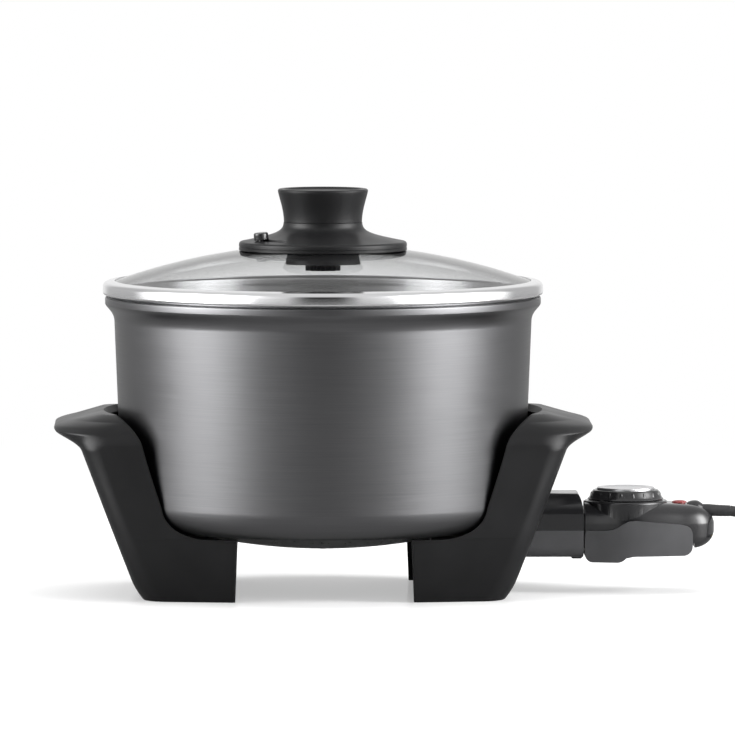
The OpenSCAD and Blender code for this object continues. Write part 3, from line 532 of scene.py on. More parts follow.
def flow(x: float, table: Sequence[Pair]) -> float:
    """Value at x on a smooth line through a table's pairs.

    Args:
        x: Where to read.
        table: Pairs of place and value, in order.

    Returns:
        The value, which is the end's value outside the table.
    """
    if x <= table[0][0]:
        return table[0][1]
    slopes = [(b[1] - a[1]) / (b[0] - a[0]) for a, b in zip(table, table[1:])]
    turns = [(p + q) / 2 if p * q > 0 else 0.0 for p, q in zip(slopes, slopes[1:])]
    tangents = [slopes[0], *turns, slopes[-1]]
    for i, ((x0, y0), (x1, y1)) in enumerate(zip(table, table[1:])):
        if x <= x1:
            width = x1 - x0
            t = (x - x0) / width
            return ((2 * t ** 3 - 3 * t * t + 1) * y0
                    + (t ** 3 - 2 * t * t + t) * width * tangents[i]
                    + (3 * t * t - 2 * t ** 3) * y1
                    + (t ** 3 - t * t) * width * tangents[i + 1])
    return table[-1][1]


def round_box(low: Pair, high: Pair, bottom: float, top: float, steps: int) -> list[Pair]:
    """Outline of a rectangle with rounded corners, the other way to a clock.

    Args:
        low: Lowest corner.
        high: Highest corner.
        bottom: Radius of the two lower corners.
        top: Radius of the two upper corners.
        steps: Steps in each corner.

    Returns:
        The outline.
    """
    return [*arc((low[0] + bottom, low[1] + bottom), bottom, 180, 270, steps),
            *arc((high[0] - bottom, low[1] + bottom), bottom, 270, 360, steps),
            *arc((high[0] - top, high[1] - top), top, 0, 90, steps),
            *arc((low[0] + top, high[1] - top), top, 90, 180, steps)]


def tidy(shape: Shape) -> Shape:
    """Merge what lies together and turn all faces outwards.

    Args:
        shape: The shape.

    Returns:
        The same shape.
    """
    bmesh.ops.remove_doubles(shape, verts=shape.verts, dist=0.0005)
    bmesh.ops.recalc_face_normals(shape, faces=shape.faces)
    return shape


def lathe(profile: Sequence[Pair], steps: int = 144, closed: bool = False) -> Shape:
    """Spin a profile round the upright axis.

    Args:
        profile: Pairs of radius and height.
        steps: Steps in the full turn.
        closed: Whether the profile's end joins its start.

    Returns:
        The turned shape.
    """
    shape = bmesh.new()
    line = [shape.verts.new((radius, 0, height)) for radius, height in profile]
    edges = [shape.edges.new(pair) for pair in zip(line, line[1:])]
    if closed:
        edges.append(shape.edges.new((line[-1], line[0])))
    bmesh.ops.spin(shape, geom=line + edges, cent=(0, 0, 0), axis=(0, 0, 1), dvec=(0, 0, 0),
                   angle=math.tau, steps=steps, use_merge=True)
    return tidy(shape)


def loft(rings: Sequence[Sequence[Point]]) -> Shape:
    """A closed skin over rings that have the same number of points.

    Args:
        rings: The rings in order.

    Returns:
        The shape, its ends closed.
    """
    shape = bmesh.new()
    ring = [shape.verts.new(place) for place in rings[0]]
    edges = [shape.edges.new(pair) for pair in zip(ring, ring[1:] + ring[:1])]
    shape.faces.new(ring)
    for places in rings[1:]:
        made = bmesh.ops.extrude_edge_only(shape, edges=edges)["geom"]
        fresh = {part for part in made if isinstance(part, bmesh.types.BMVert)}
        edges = [part for part in made
                 if isinstance(part, bmesh.types.BMEdge) and fresh.issuperset(part.verts)]
        ring = [next(end for end in (edge.other_vert(old) for edge in old.link_edges)
                     if end in fresh) for old in ring]
        for vert, place in zip(ring, places):
            vert.co = place
    shape.faces.new(ring)
    return tidy(shape)


def prism(outline: Sequence[Pair], axis: str, start: float, end: float) -> Shape:
    """Draw an outline out along an axis.

    Args:
        outline: The outline; its pairs are (Y, Z) along x, (X, Z) along y and (X, Y) along z.
        axis: x, y or z.
        start: Where it starts on the axis.
        end: Where it ends.

    Returns:
        The shape.
    """
    spot = "xyz".index(axis)
    return loft([[(*pair[:spot], depth, *pair[spot:]) for pair in outline]
                 for depth in (start, end)])


def block(low: Point, high: Point) -> Shape:
    """A box between two corners.

    Args:
        low: Lowest corner.
        high: Highest corner.

    Returns:
        The shape.
    """
    shape = bmesh.new()
    bmesh.ops.create_cube(shape, size=1.0)
    bmesh.ops.scale(shape, vec=[b - a for a, b in zip(low, high)], verts=shape.verts)
    middle = [(a + b) / 2 for a, b in zip(low, high)]
    bmesh.ops.translate(shape, vec=middle, verts=shape.verts)
    return shape


def rod(start: Point, end: Point, radius: float, end_radius: float | None = None,
        sides: int = 32) -> Shape:
    """A round rod or a cone between two points.

    Args:
        start: Middle of one end.
        end: Middle of the other.
        radius: Radius at the start.
        end_radius: Radius at the end, if it differs.
        sides: Sides round it.

    Returns:
        The shape.
    """
    shape = bmesh.new()
    way = Vector(end) - Vector(start)
    bmesh.ops.create_cone(shape, cap_ends=True, segments=sides, radius1=radius,
                          radius2=radius if end_radius is None else end_radius,
                          depth=way.length)
    turn = way.to_track_quat("Z", "Y").to_matrix().to_4x4()
    return placed(shape, Matrix.Translation((Vector(start) + Vector(end)) / 2) @ turn)


def placed(shape: Shape, matrix: Matrix) -> Shape:
    """The shape, moved by a matrix."""
    bmesh.ops.transform(shape, matrix=matrix, verts=shape.verts)
    return shape


def moved(shape: Shape, by: Point, turn: float = 0.0, axis: str = "Z") -> Shape:
    """The shape turned about an axis in degrees, then moved."""
    return placed(shape, Matrix.Translation(by) @ Matrix.Rotation(math.radians(turn), 4, axis))


def round_edges(shape: Shape, edges: list[bmesh.types.BMEdge], width: float,
                steps: int) -> None:
    """Round edges of a shape."""
    bmesh.ops.bevel(shape, geom=edges, offset=width, offset_type="OFFSET", affect="EDGES",
                    segments=steps, profile=0.5, material=-1)


def gathered(shapes: Iterable[Shape]) -> Shape:
    """Several shapes that don't touch, as one.

    Args:
        shapes: The shapes, which are used up.

    Returns:
        The one shape.
    """
    whole = bmesh.new()
    for shape in shapes:
        data = bpy.data.meshes.new("gathered")
        shape.to_mesh(data)
        shape.free()
        whole.from_mesh(data)
        bpy.data.meshes.remove(data)
    return whole


def combine(base: Shape, how: Join, *tools: Shape) -> Shape:
    """Join, cut or intersect closed shapes, one after another; all are used up.

    Args:
        base: The shape to work on.
        how: What to do.
        *tools: The other shapes.

    Returns:
        The new shape.
    """
    for tool in tools:
        pair = []
        for shape in (base, tool):
            bmesh.ops.recalc_face_normals(shape, faces=shape.faces)
            data = bpy.data.meshes.new("work")
            shape.to_mesh(data)
            shape.free()
            thing = bpy.data.objects.new("work", data)
            bpy.context.collection.objects.link(thing)
            pair.append(thing)
        change = pair[0].modifiers.new("join", "BOOLEAN")
        change.operation, change.solver, change.object = how.value, "EXACT", pair[1]
        base = bmesh.new()
        base.from_object(pair[0], bpy.context.evaluated_depsgraph_get())
        for thing in pair:
            data = thing.data
            bpy.data.objects.remove(thing)
            bpy.data.meshes.remove(data)
    return base


def cut_at(shape: Shape, height: float, keep_above: bool) -> Shape:
    """Cut a closed shape flat at a height and close the cut.

    Args:
        shape: The shape.
        height: The cut's height.
        keep_above: Whether the upper part stays.

    Returns:
        The part that stays.
    """
    bmesh.ops.bisect_plane(shape, geom=[*shape.verts, *shape.edges, *shape.faces],
                           plane_co=(0, 0, height), plane_no=(0, 0, 1), clear_inner=keep_above,
                           clear_outer=not keep_above)
    bmesh.ops.holes_fill(shape, edges=[edge for edge in shape.edges if edge.is_boundary])
    return tidy(shape)


def linked(name: str, data: bpy.types.ID) -> bpy.types.Object:
    """A new object in the scene.

    Args:
        name: Its name.
        data: The mesh, curve, lamp or camera in it.

    Returns:
        The object.
    """
    body = bpy.data.objects.new(name, data)
    bpy.context.collection.objects.link(body)
    return body


@dataclass
class Bench:
    """Where shapes are put into the frame, and CAD nodes get their finish."""

    nodes: dict[str, bpy.types.Object]
    finishes: dict[Slot, bpy.types.Material]

    def fit(self, shape: Shape, name: str, body: Body, slot: Slot, *stands_for: str,
            crease: float = 32.0, bevel: float = 0.0,
            inside: Callable[[Vector], bool] | None = None,
            lining: bpy.types.Material | None = None) -> bpy.types.Object:
        """Make a piece from a shape in millimetres about the pot's axis.

        Args:
            shape: The shape, which is used up.
            name: The piece's name.
            body: The body that it moves with.
            slot: The slot that it takes its finish from.
            *stands_for: CAD nodes that it replaces.
            crease: Angle in degrees from which an edge stays sharp.
            bevel: Width in millimetres of the bevel on its sharp edges.
            inside: Says which faces have the lining, by their middle.
            lining: Finish of those faces.

        Returns:
            The piece.
        """
        sharp = math.radians(crease)
        for edge in shape.edges:
            edge.smooth = edge.is_manifold and edge.calc_face_angle(0.0) < sharp
        for face in shape.faces:
            face.smooth = True
            lined = inside is not None and inside(face.calc_center_median())
            face.material_index = int(lined)
        bmesh.ops.scale(shape, vec=(MM, MM, MM), verts=shape.verts)
        bmesh.ops.translate(shape, vec=(SHIFT * MM, 0, 0), verts=shape.verts)
        data = bpy.data.meshes.new(name)
        shape.to_mesh(data)
        shape.free()
        for finish in (self.finishes[slot], lining):
            if finish is not None:
                data.materials.append(finish)
        piece = linked(name, data)
        if bevel:
            edge = piece.modifiers.new("edges", "BEVEL")
            edge.width, edge.segments = bevel * MM, 3
            edge.limit_method, edge.angle_limit = "ANGLE", sharp
            edge.harden_normals = True
            edge.material = -1
        piece.modifiers.new("even", "WEIGHTED_NORMAL").keep_sharp = True
        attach(piece, body.value)
        if stands_for:
            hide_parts(*stands_for)
        log.info("%s for %s", name, ", ".join(stands_for) or "no node")
        return piece

    def carry(self, body: Body, slot: Slot, *names: str) -> None:
        """Show CAD nodes as copies whose round faces are smooth.

        Args:
            body: The body that they move with.
            slot: Their slot.
            *names: The nodes.
        """
        for name in names:
            shape = bmesh.new()
            shape.from_mesh(self.nodes[name].data)
            bmesh.ops.translate(shape, vec=(-SHIFT * MM, 0, 0), verts=shape.verts)
            bmesh.ops.scale(shape, vec=(1 / MM, 1 / MM, 1 / MM), verts=shape.verts)
            bmesh.ops.remove_doubles(shape, verts=shape.verts, dist=0.002)
            bmesh.ops.dissolve_degenerate(shape, dist=0.001, edges=shape.edges)
            self.fit(shape, name + "_finished", body, slot, name)


@dataclass
class Studio:
    """Floor, light and camera."""

    aim: Point = (-0.01105, 0.0, 0.146)
    eye: Point = (-0.11265, -6.0, 0.55)
    frame_width: float = 0.478
    sensor: float = 36.0
    # What shiny surfaces show, by direction: 0 is towards the camera and 1 away from it
    surround: tuple[Pair, ...] = (
        (0.0, 0.003), (0.005, 0.004), (0.015, 0.025), (0.03, 0.06), (0.08, 0.08), (0.146, 0.24),
        (0.228, 0.7), (0.329, 1.0), (0.456, 0.75), (0.595, 0.16), (0.75, 0.04), (0.933, 0.04),
        (1.0, 0.068))
    surround_peak: float = 13.5
    dimmed_by_glass: float = 0.85
    overhead: float = 0.8
    overhead_from: Pair = (0.4, 0.85)
    ambient: float = 0.4
    floor_r: float = 3.0
    floor_grey: float = 0.8
    floor_sheen: float = 0.16
    sheen_roughness: float = 0.16
    floor_lift: float = 0.34
    floor_fade: Pair = (0.3, 1.3)
    floor_stretch: Point = (0.8, 1, 1)
    floor_dim: float = 0.75
    lamps: tuple[tuple[str, Point, Pair, float], ...] = (
        ("left", (-2.5, -0.9, 0.8), (1.1, 2.0), 40.0),
        ("right", (2.5, -0.9, 0.8), (1.1, 2.0), 110.0),
        ("top", (0.0, 0.3, 2.6), (2.4, 2.4), 50.0))
    lamp_aim: Point = (-0.04, 0, 0.13)

    @staticmethod
    def point(body: bpy.types.Object, place: Point, aim: Point) -> None:
        """Put an object at a place and point it at an aim."""
        body.location = place
        body.rotation_euler = (Vector(aim) - Vector(place)).to_track_quat("-Z", "Y").to_euler()

    def camera(self) -> None:
        """Make the camera at the photograph's angle."""
        data = bpy.data.cameras.new("camera")
        far = (Vector(self.aim) - Vector(self.eye)).length
        data.sensor_width = self.sensor
        data.lens = self.sensor * far / self.frame_width
        data.clip_end = 50.0
        body = linked("camera", data)
        self.point(body, self.eye, self.aim)
        bpy.context.scene.camera = body

    def lamp(self, name: str, place: Point, size: Pair, power: float) -> None:
        """Make one soft box, which shiny surfaces and glass don't show.

        Args:
            name: The lamp's name.
            place: Its centre.
            size: Width and height in metres.
            power: Power in watts.
        """
        data = bpy.data.lights.new(name, "AREA")
        data.shape = "RECTANGLE"
        data.size, data.size_y = size
        data.energy = power
        body = linked(name, data)
        self.point(body, place, self.lamp_aim)
        body.visible_glossy = body.visible_transmission = False

    def world(self) -> None:
        """White past the object, soft boxes for shiny surfaces, dim light for the rest."""
        world = bpy.data.worlds.new("studio")
        bpy.context.scene.world = world
        board = Board(world)
        generated = board.add("TexCoord").outputs["Generated"]
        x, y, z = board.add("SeparateXYZ", {0: generated}).outputs
        level = board.math("MAXIMUM", board.reach(x, y), 0.001)
        turn = board.math("MULTIPLY_ADD", board.math("DIVIDE", y, level), 0.5, 0.5)
        ramp = board.ramp(turn, [(place, (grey,) * 3) for place, grey in self.surround])
        ramp.color_ramp.interpolation = "EASE"
        glass = board.add("LightPath").outputs["Transmission Depth"]
        peak = board.math("MULTIPLY_ADD", board.math("MINIMUM", glass, 1.0),
                          -self.dimmed_by_glass * self.surround_peak, self.surround_peak)
        side = board.math("MULTIPLY", ramp.outputs[0], peak)
        high = board.span(z, 0.0, 1.0, self.overhead_from, "SMOOTHSTEP")
        seen = board.math("MULTIPLY_ADD", board.math("SUBTRACT", self.overhead, side), high, side)
        plain, gloss, white = (board.add("Background", {0: WHITE, 1: strength}).outputs[0]
                               for strength in (self.ambient, seen, 1.0))
        board.end(board.mix(board.looked_at(), board.mix(board.mirrored(), plain, gloss), white))

    def floor(self) -> None:
        """A pale floor that keeps the object's shadow and faint reflection, out to white."""
        shape = bmesh.new()
        bmesh.ops.create_circle(shape, cap_ends=True, segments=96, radius=self.floor_r)
        data = bpy.data.meshes.new("floor")
        shape.to_mesh(data)
        shape.free()
        body = linked("floor", data)
        board = Board(bpy.data.materials.new("floor"))
        flat = board.add("BsdfDiffuse", {"Color": (*[self.floor_grey] * 3, 1)}).outputs[0]
        sheen = board.add("BsdfGlossy", {"Roughness": self.sheen_roughness}).outputs[0]
        seen = board.looked_at()
        lift = board.add("Emission", {"Color": WHITE, "Strength": board.math(
            "MULTIPLY", seen, self.floor_lift)}).outputs[0]
        near = board.add("AddShader", {0: board.mix(self.floor_sheen, flat, sheen), 1: lift})
        far = board.add("Emission", {"Color": WHITE})
        away = board.add("VectorMath", {0: board.place(scale=self.floor_stretch)},
                         operation="LENGTH").outputs["Value"]
        fade = board.span(away, 0.0, 1.0, self.floor_fade, "SMOOTHSTEP")
        whole = board.mix(board.math("MULTIPLY", fade, seen), near.outputs[0], far.outputs[0])
        # The second shader stays open, so it is black and darkens the floor in reflections
        share = board.math("MULTIPLY", board.mirrored(), self.floor_dim)
        board.end(board.add("MixShader", {0: share, 1: whole}).outputs[0])
        data.materials.append(board.owner)

    def build(self) -> None:
        """Make everything but the camera."""
        self.world()
        self.floor()
        for lamp in self.lamps:
            self.lamp(*lamp)
        bpy.context.scene.view_settings.view_transform = "Standard"


@dataclass
class Pot:
    """Cast pot: turned wall and flange, with the bosses under it."""

    rim_r: float = 141.6
    top_r: float = 136.2
    base_r: float = 130.2
    height: float = 149.5
    lift: float = 43.0
    wall: float = 3.0
    floor: float = 4.0
    corner_r: float = 18.0
    flange: float = 4.25
    land: float = 8.4
    cove: float = 11.5
    edge: float = 1.0
    # What the legs and the socket keep from its wall and its underside
    gap: float = 1.2
    drop: float = 2.2
    post_r: float = 5
    screw_r: float = 1.9
    screw_depth: float = 9.5
    cover_boss_z: float = 30.4
    ribs: Pair = (55.65, 65.35)
    rib_w: float = 3
    rib_z: float = 37.5
    # Leaves the ring's two cold ends free, in plan
    rib_gap: tuple[Pair, ...] = ((0, 0), (200, -106), (200, 106))
    well_x: Pair = (70, 116)
    well_z: float = 38
    well_r: float = 6.4
    bore_r: float = 4.3

    def __post_init__(self) -> None:
        """Work out the places that other pieces share."""
        self.rim_z = self.lift + self.height
        self.lean = math.degrees(math.atan((self.top_r - self.base_r) / self.height))
        lean = math.radians(self.lean)
        self.corner_x = self.base_r - self.corner_r * (1 - math.sin(lean)) / math.cos(lean)

    def wall_r(self, z: float) -> float:
        """Radius of the outer wall at a height."""
        return self.base_r + (z - self.lift) * math.tan(math.radians(self.lean))

    def profile(self) -> list[Pair]:
        """Section of the pot, from the middle of its underside to the middle of its floor.

        Returns:
            Pairs of radius and height.
        """
        under = self.rim_z - self.flange
        cove_z = under - self.cove
        cove_r, inner_z = self.wall_r(cove_z), self.rim_z - 6
        edge, land_r = self.edge, self.rim_r - self.land
        return [(0, self.lift),
                *arc((self.corner_x, self.lift + self.corner_r), self.corner_r, -90, -self.lean,
                     20),
                *[(self.wall_r(z), z) for z in (90, 130)],
                *curve((cove_r, cove_z), (cove_r + 0.2, cove_z + 0.56 * self.cove),
                       (self.rim_r - 0.6, under - 2.6), (self.rim_r, under), 18),
                *arc((self.rim_r - edge, self.rim_z - edge), edge, 0, 90, 6),
                *arc((land_r + edge, self.rim_z - edge), edge, 90, 180, 6),
                (self.wall_r(inner_z) - self.wall, inner_z),
                *arc((self.corner_x, self.lift + self.corner_r + self.floor - self.wall),
                     self.corner_r - self.wall, -self.lean, -90, 16),
                (0, self.lift + self.floor)]

    def skin(self, top: float) -> Shape:
        """The pot's outside with its gap and drop, as a solid.

        Args:
            top: Height where it ends.

        Returns:
            The solid.
        """
        centre = (self.corner_x, self.lift + self.corner_r - self.drop + self.gap)
        return lathe([(0, self.lift - self.drop),
                      *arc(centre, self.corner_r + self.gap, -90, -self.lean, 12),
                      (self.wall_r(top) + self.gap, top), (0, top)])

    def within(self, spot: Vector) -> bool:
        """Whether a face of the pot belongs to its inside, by the face's middle.

        Args:
            spot: The face's middle.

        Returns:
            Whether it does.
        """
        reach, half = math.hypot(spot.x, spot.y), self.wall / 2
        corner_z = self.lift + self.corner_r
        if spot.z > corner_z:
            return reach < min(self.wall_r(spot.z) - half, self.rim_r - self.land + 0.6)
        away = math.hypot(max(0.0, reach - self.corner_x), corner_z - spot.z)
        return spot.z > self.lift + self.floor - 0.1 and away < self.corner_r - half

    def build(self, bench: Bench, coat: bpy.types.Material) -> None:
        """Make the pot.

        Args:
            bench: Where it goes.
            coat: Finish of its inside.
        """
        top = self.lift + 0.5
        bosses = [*[(*spot, LEG_BOSS_Z, self.post_r) for spot in LEG_BOSSES],
                  *[(*spot, SOCKET_BOSS_Z, self.post_r - 0.5) for spot in SOCKET_BOSSES],
                  (0, 0, self.cover_boss_z, self.post_r)]
        posts = [rod((x, y, low), (x, y, top), r) for x, y, low, r in bosses]
        holes = [rod((x, y, low - 1), (x, y, low + self.screw_depth), self.screw_r, sides=24)
                 for x, y, low, _ in bosses]
        low, wide = self.rib_z, self.rib_w
        ribs = [combine(lathe([(r, low), (r + wide, low), (r + wide, top), (r, top)], 96, True),
                        Join.CUT, prism(self.rib_gap, "z", 30, 50)) for r in self.ribs]
        z, r, (x0, x1) = self.well_z, self.well_r, self.well_x
        well = combine(rod((x0, 0, z), (x1, 0, z), r), Join.ADD,
                       block((x0, -r, z), (x1, r, top)))
        shape = combine(lathe(self.profile(), 216), Join.ADD, gathered(posts), *ribs, well)
        bore = rod((x0 + 3, 0, z), (x1 + 1, 0, z), self.bore_r)
        shape = combine(shape, Join.CUT, gathered([*holes, bore]))
        bench.fit(shape, "cast_pot", Body.BASE, Slot.POT, "pot", inside=self.within, lining=coat)


@dataclass
class Screws:
    """Pan-head screws with a cross recess."""

    shank_r: float = 1.85
    thread_depth: float = 0.28
    blunt: float = 0.6
    # Length, head radius and head height, then the shank's radius where it differs
    leg: tuple[float, ...] = (11, 3.8, 2.4)
    socket: tuple[float, ...] = (11, 3.8, 2.2)
    cover: tuple[float, ...] = (10, 4, 1.4)
    housing: tuple[float, ...] = (13.5, 2.7, 1.8, 1.25)
    leg_z: float = 31
    socket_z: float = 27
    cover_z: float = 29.15

    def one(self, length: float, head_r: float, head_h: float,
            shank_r: float | None = None) -> Shape:
        """A screw that points up, with the underside of its head at 0.

        Args:
            length: Length of the shank.
            head_r: Radius of the head.
            head_h: Height of the head.
            shank_r: Radius of the shank, if it differs.

        Returns:
            The shape.
        """
        r = shank_r or self.shank_r
        head = [(head_r * math.sin(math.radians(a)),
                 -head_h * (0.45 + 0.55 * math.cos(math.radians(a)))) for a in range(0, 91, 10)]
        pitch, blunt = max(0.8, r * 0.55), self.blunt
        turns = int((length - 2 * blunt) / pitch)
        thread = [(r - (self.thread_depth if k % 2 else 0.0), blunt + pitch * k / 2)
                  for k in range(2 * turns)]
        shape = lathe([*head, (head_r, -0.15), (head_r - 0.15, 0), (r, 0), *thread,
                       (r - blunt, length), (0, length)], 48)
        wide, slim, low, high = head_r * 0.62, head_r * 0.16, -head_h - 1, -head_h * 0.4
        cross = combine(block((-wide, -slim, low), (wide, slim, high)), Join.ADD,
                        block((-slim, -wide, low), (slim, wide, high)))
        return combine(shape, Join.CUT, cross)

    def build(self, bench: Bench) -> None:
        """Make all screws.

        Args:
            bench: Where it goes.
        """
        legs = [(*spot, self.leg_z) for spot in LEG_BOSSES]
        sockets = [(*spot, self.socket_z) for spot in SOCKET_BOSSES]
        # The last two are the turn of the first screw and the step to the next one's
        for name, body, node, size, places, first, step in (
                ("leg_pan_screws", Body.BASE, "leg_screws", self.leg, legs, 0, 17),
                ("socket_pan_screws", Body.BASE, "socket_screws", self.socket, sockets, 0, 31),
                ("cover_pan_screw", Body.BASE, "cover_screw", self.cover,
                 [(0, 0, self.cover_z)], 12, 0),
                ("housing_screws", Body.CONTROL, "probe_screws", self.housing,
                 HOUSING_SCREWS, 0, 23)):
            screws = [moved(self.one(*size), place, first + step * k)
                      for k, place in enumerate(places)]
            bench.fit(gathered(screws), name, body, Slot.STEEL, node)


@dataclass
class Leg:
    """Moulded leg that rises into a handle; sizes as in the part's source."""

    foot_reach: float = 116.4
    grip_reach: float = 174.43
    grip_z: float = 110.5
    crest_z: float = 119.0
    crest_reach: float = 142.6
    lean: float = 21.0
    foot_half: float = 75.5
    belly_half: float = 83.6
    inner_x: float = 55.7
    wall: float = 3.6
    toe_in: float = 2.8
    toe_h: float = 13.0
    slant: float = 0.15
    roof: float = 4.6
    edge: float = 1.8
    sole: float = 0.8
    # Reach of the screw pads, where they start in Y, and their height
    pad_x: Pair = (87, 105)
    pad_y: float = 42
    pad_z: Pair = (31, 34.5)
    web_x: Pair = (102, 104)
    web_foot: Pair = (77.5, 15)

    def __post_init__(self) -> None:
        """Work out the curves of the outer face."""
        self.pot = Pot()
        self.lip_z = lip = self.grip_z - 14
        self.shelf_z = self.pot.lift - self.pot.drop
        self.bound_z = self.pot.lift + self.pot.corner_r
        self.bound_low = self.pot.wall_r(self.bound_z) + self.pot.gap
        root, crest_x = self.line_at(lip), self.crest_reach + 1.2
        toe = [(z, self.line_at(z) - self.toe_in * (1 - z / self.toe_h) ** 2)
               for z in [self.toe_h * i / 12 for i in range(13)]]
        self.grip = curve((lip, root), (lip + 5.6, root + 2.2),
                          (self.grip_z - 5.5, self.grip_reach),
                          (self.grip_z - 1, self.grip_reach), 22)
        self.crest = curve((self.grip_z - 1, self.grip_reach),
                           (self.grip_z + 2.3, self.grip_reach),
                           (self.crest_z - 5, crest_x + 19), (self.crest_z, crest_x), 26)
        self.reach = [*toe, *self.grip, *self.crest[1:]]
        belly, root_half, foot = self.belly_half, self.belly_half - 4.2, self.foot_half
        self.side = [*curve((0, foot), (10, foot + 2.8), (24, belly), (38, belly), 12),
                     *curve((38, belly), (58, belly), (lip - 10, root_half),
                            (lip + 4, root_half), 16)[1:],
                     *curve((lip + 4, root_half), (self.grip_z, belly - 5.6),
                            (self.crest_z - 2.2, belly - 18), (self.crest_z, belly - 28.4),
                            24)[1:]]
        self.corner = [(0, 18), (60, 14), (lip, 15), (self.grip_z - 4, 36), (self.grip_z, 42),
                       (self.crest_z, 38)]

    def line_at(self, z: float) -> float:
        """Reach of the straight part of the outer face."""
        return self.foot_reach + self.toe_in + z * math.tan(math.radians(self.lean))

    def bound_r(self, z: float) -> float:
        """Radius that the leg keeps clear of for the pot, and for fingers further up.

        Args:
            z: The height.

        Returns:
            The radius.
        """
        if z >= self.bound_z:
            return self.bound_low + (self.crest_reach - self.bound_low) * (z - self.bound_z) / (
                self.crest_z - self.bound_z)
        pot = self.pot
        down = (self.bound_z - z) / (pot.corner_r + pot.drop)
        return pot.corner_x + (pot.corner_r + pot.gap) * math.sqrt(max(0.0, 1 - down * down))

    def half(self, reach: float, half: float, corner: float, bound: float, inner: float,
             edge: float) -> list[Pair]:
        """Half of the outline at one height.

        Args:
            reach: Reach of the outer face.
            half: Half the depth.
            corner: Radius of the corner.
            bound: Radius round the pot's axis to keep out of.
            inner: Reach of the inner end.
            edge: Size of the rounding at the inner end.

        Returns:
            Points from the inner end to the middle of the outer face.
        """
        slant = self.slant
        angle = math.atan(slant)
        a, k = half + 100 * slant, 1 + slant ** 2
        meet = math.sqrt(max(0.0, (a * slant) ** 2 - k * (a * a - bound * bound)))
        x0 = max(inner, (a * slant + meet) / k)
        y0 = half + slant * (100 - x0)
        r = min(corner, 0.9 * half, (reach - x0 - 1.2) / (1 - math.sin(angle)))
        centre = (reach - r, half + slant * (100 - reach + r) - r / math.cos(angle))
        made = []
        for i in range(5):
            t = math.radians(90 * i / 4)
            back = 1 - math.cos(t)
            spot = (x0 + edge * back, y0 - edge + edge * math.sin(t) - edge * slant * back)
            made.append(self.kept_out(spot, bound + edge * 0.7 * i / 4))
        return made + [self.kept_out(p, bound + edge)
                       for p in arc(centre, r, 90 - math.degrees(angle), 0, 14)]

    @staticmethod
    def kept_out(spot: Pair, radius: float) -> Pair:
        """The point, moved out to a radius if it lies within it."""
        reach = math.hypot(*spot)
        return (spot[0] * radius / reach, spot[1] * radius / reach) if reach < radius else spot

    def ring(self, z: float) -> list[Point]:
        """The closed section at one height: its outside, then back along its hollow.

        Args:
            z: The height.

        Returns:
            The section's points.
        """
        bound = self.bound_r(z) if z > self.shelf_z else 0.0
        inner = self.inner_x + 1.7 * max(0.0, 1 - z / self.pot.lift)
        corner = look_up(z, self.corner, ease=True)
        reach, half = look_up(z, self.reach), look_up(z, self.side)
        sole = self.sole
        drawn = sole * (1 - math.sqrt(1 - (1 - z / sole) ** 2)) if z < sole else 0.0
        out = self.half(reach - drawn, half - drawn, corner, bound, inner, self.edge)
        hollow = min(self.line_at(z) - self.wall / math.cos(math.radians(self.lean)),
                     reach - self.wall, look_up(z + self.roof, self.crest) - 1)
        depth = min(half - self.wall, look_up(z + self.roof, self.side) - 1.2)
        back = self.half(hollow, depth, max(corner - self.wall, 4), bound, inner, 0.0)
        return [(x, y, z) for x, y in [*[(x, -y) for x, y in out], *reversed(out), *back,
                                       *reversed([(x, -y) for x, y in back])]]

    def levels(self) -> list[float]:
        """Heights of the sections.

        Returns:
            The heights, from the sole up.
        """
        sole, shelf, bound = self.sole, self.shelf_z, self.bound_z
        return [0, 0.1, 0.3, 0.55, sole,
                *[sole + (shelf - sole) * i / 12 for i in range(1, 13)],
                *[shelf + 0.2 + (bound - shelf) * (i / 9) ** 1.5 for i in range(10)],
                *[bound + 0.2 + (self.lip_z - 1 - bound) * i / 12 for i in range(1, 13)],
                *[z for z, _ in self.grip], *[z for z, _ in self.crest[1:]]]

    def scoop(self) -> Shape:
        """What the leg keeps clear of above the pot's corner, as a solid.

        Returns:
            The solid.
        """
        low, high = self.bound_z + 6, self.crest_z + 4
        reach = self.crest_reach - 0.02
        return lathe([(0, low), (self.bound_r(low) - 0.02, low), (reach, self.crest_z),
                      (reach, high), (0, high)], 192)

    def build(self, bench: Bench, name: str, node: str, socket: "Socket | None") -> None:
        """Make one leg.

        Args:
            bench: Where it goes.
            name: The piece's name.
            node: The node that it stands for.
            socket: The socket that passes through it, or None for the left leg.
        """
        (x0, x1), (z0, z1), (foot_y, foot_z) = self.pad_x, self.pad_z, self.web_foot
        y0, y1 = self.pad_y, self.belly_half - self.wall / 2
        pads = []
        for side in (-1, 1):
            near, far = sorted((side * y0, side * y1))
            web = [(side * y0, z0 + 0.2), (side * y1, z0 + 0.2), (side * foot_y, foot_z)]
            pads.append(combine(block((x0, near, z0), (x1, far, z1)), Join.ADD,
                                prism(web, "x", *self.web_x)))
        shape = combine(loft([self.ring(z) for z in self.levels()]), Join.ADD, *pads)
        shape = combine(shape, Join.CUT, gathered(
            [rod((x, y, z0 - 1), (x, y, z1 + 1.5), PLATE_HOLE_R)
             for x, y in reversed(LEG_BOSSES[:2])]))
        roof_z = self.crest_z - self.roof
        rings = [self.ring(z) for z in [roof_z, *[z for z in self.levels() if z > roof_z + 0.1]]]
        roof = loft([ring[:len(ring) // 2] for ring in rings])
        shape = combine(combine(shape, Join.ADD, roof), Join.CUT, self.scoop())
        if socket is None:
            bmesh.ops.scale(shape, vec=(-1, 1, 1), verts=shape.verts)
            bmesh.ops.reverse_faces(shape, faces=shape.faces)
        else:
            shape = combine(shape, Join.CUT, prism(socket.outline(0.3), "x", 90,
                                                   self.grip_reach))
        bench.fit(shape, name, Body.BASE, Slot.BLACK, node, crease=40, bevel=0.5)


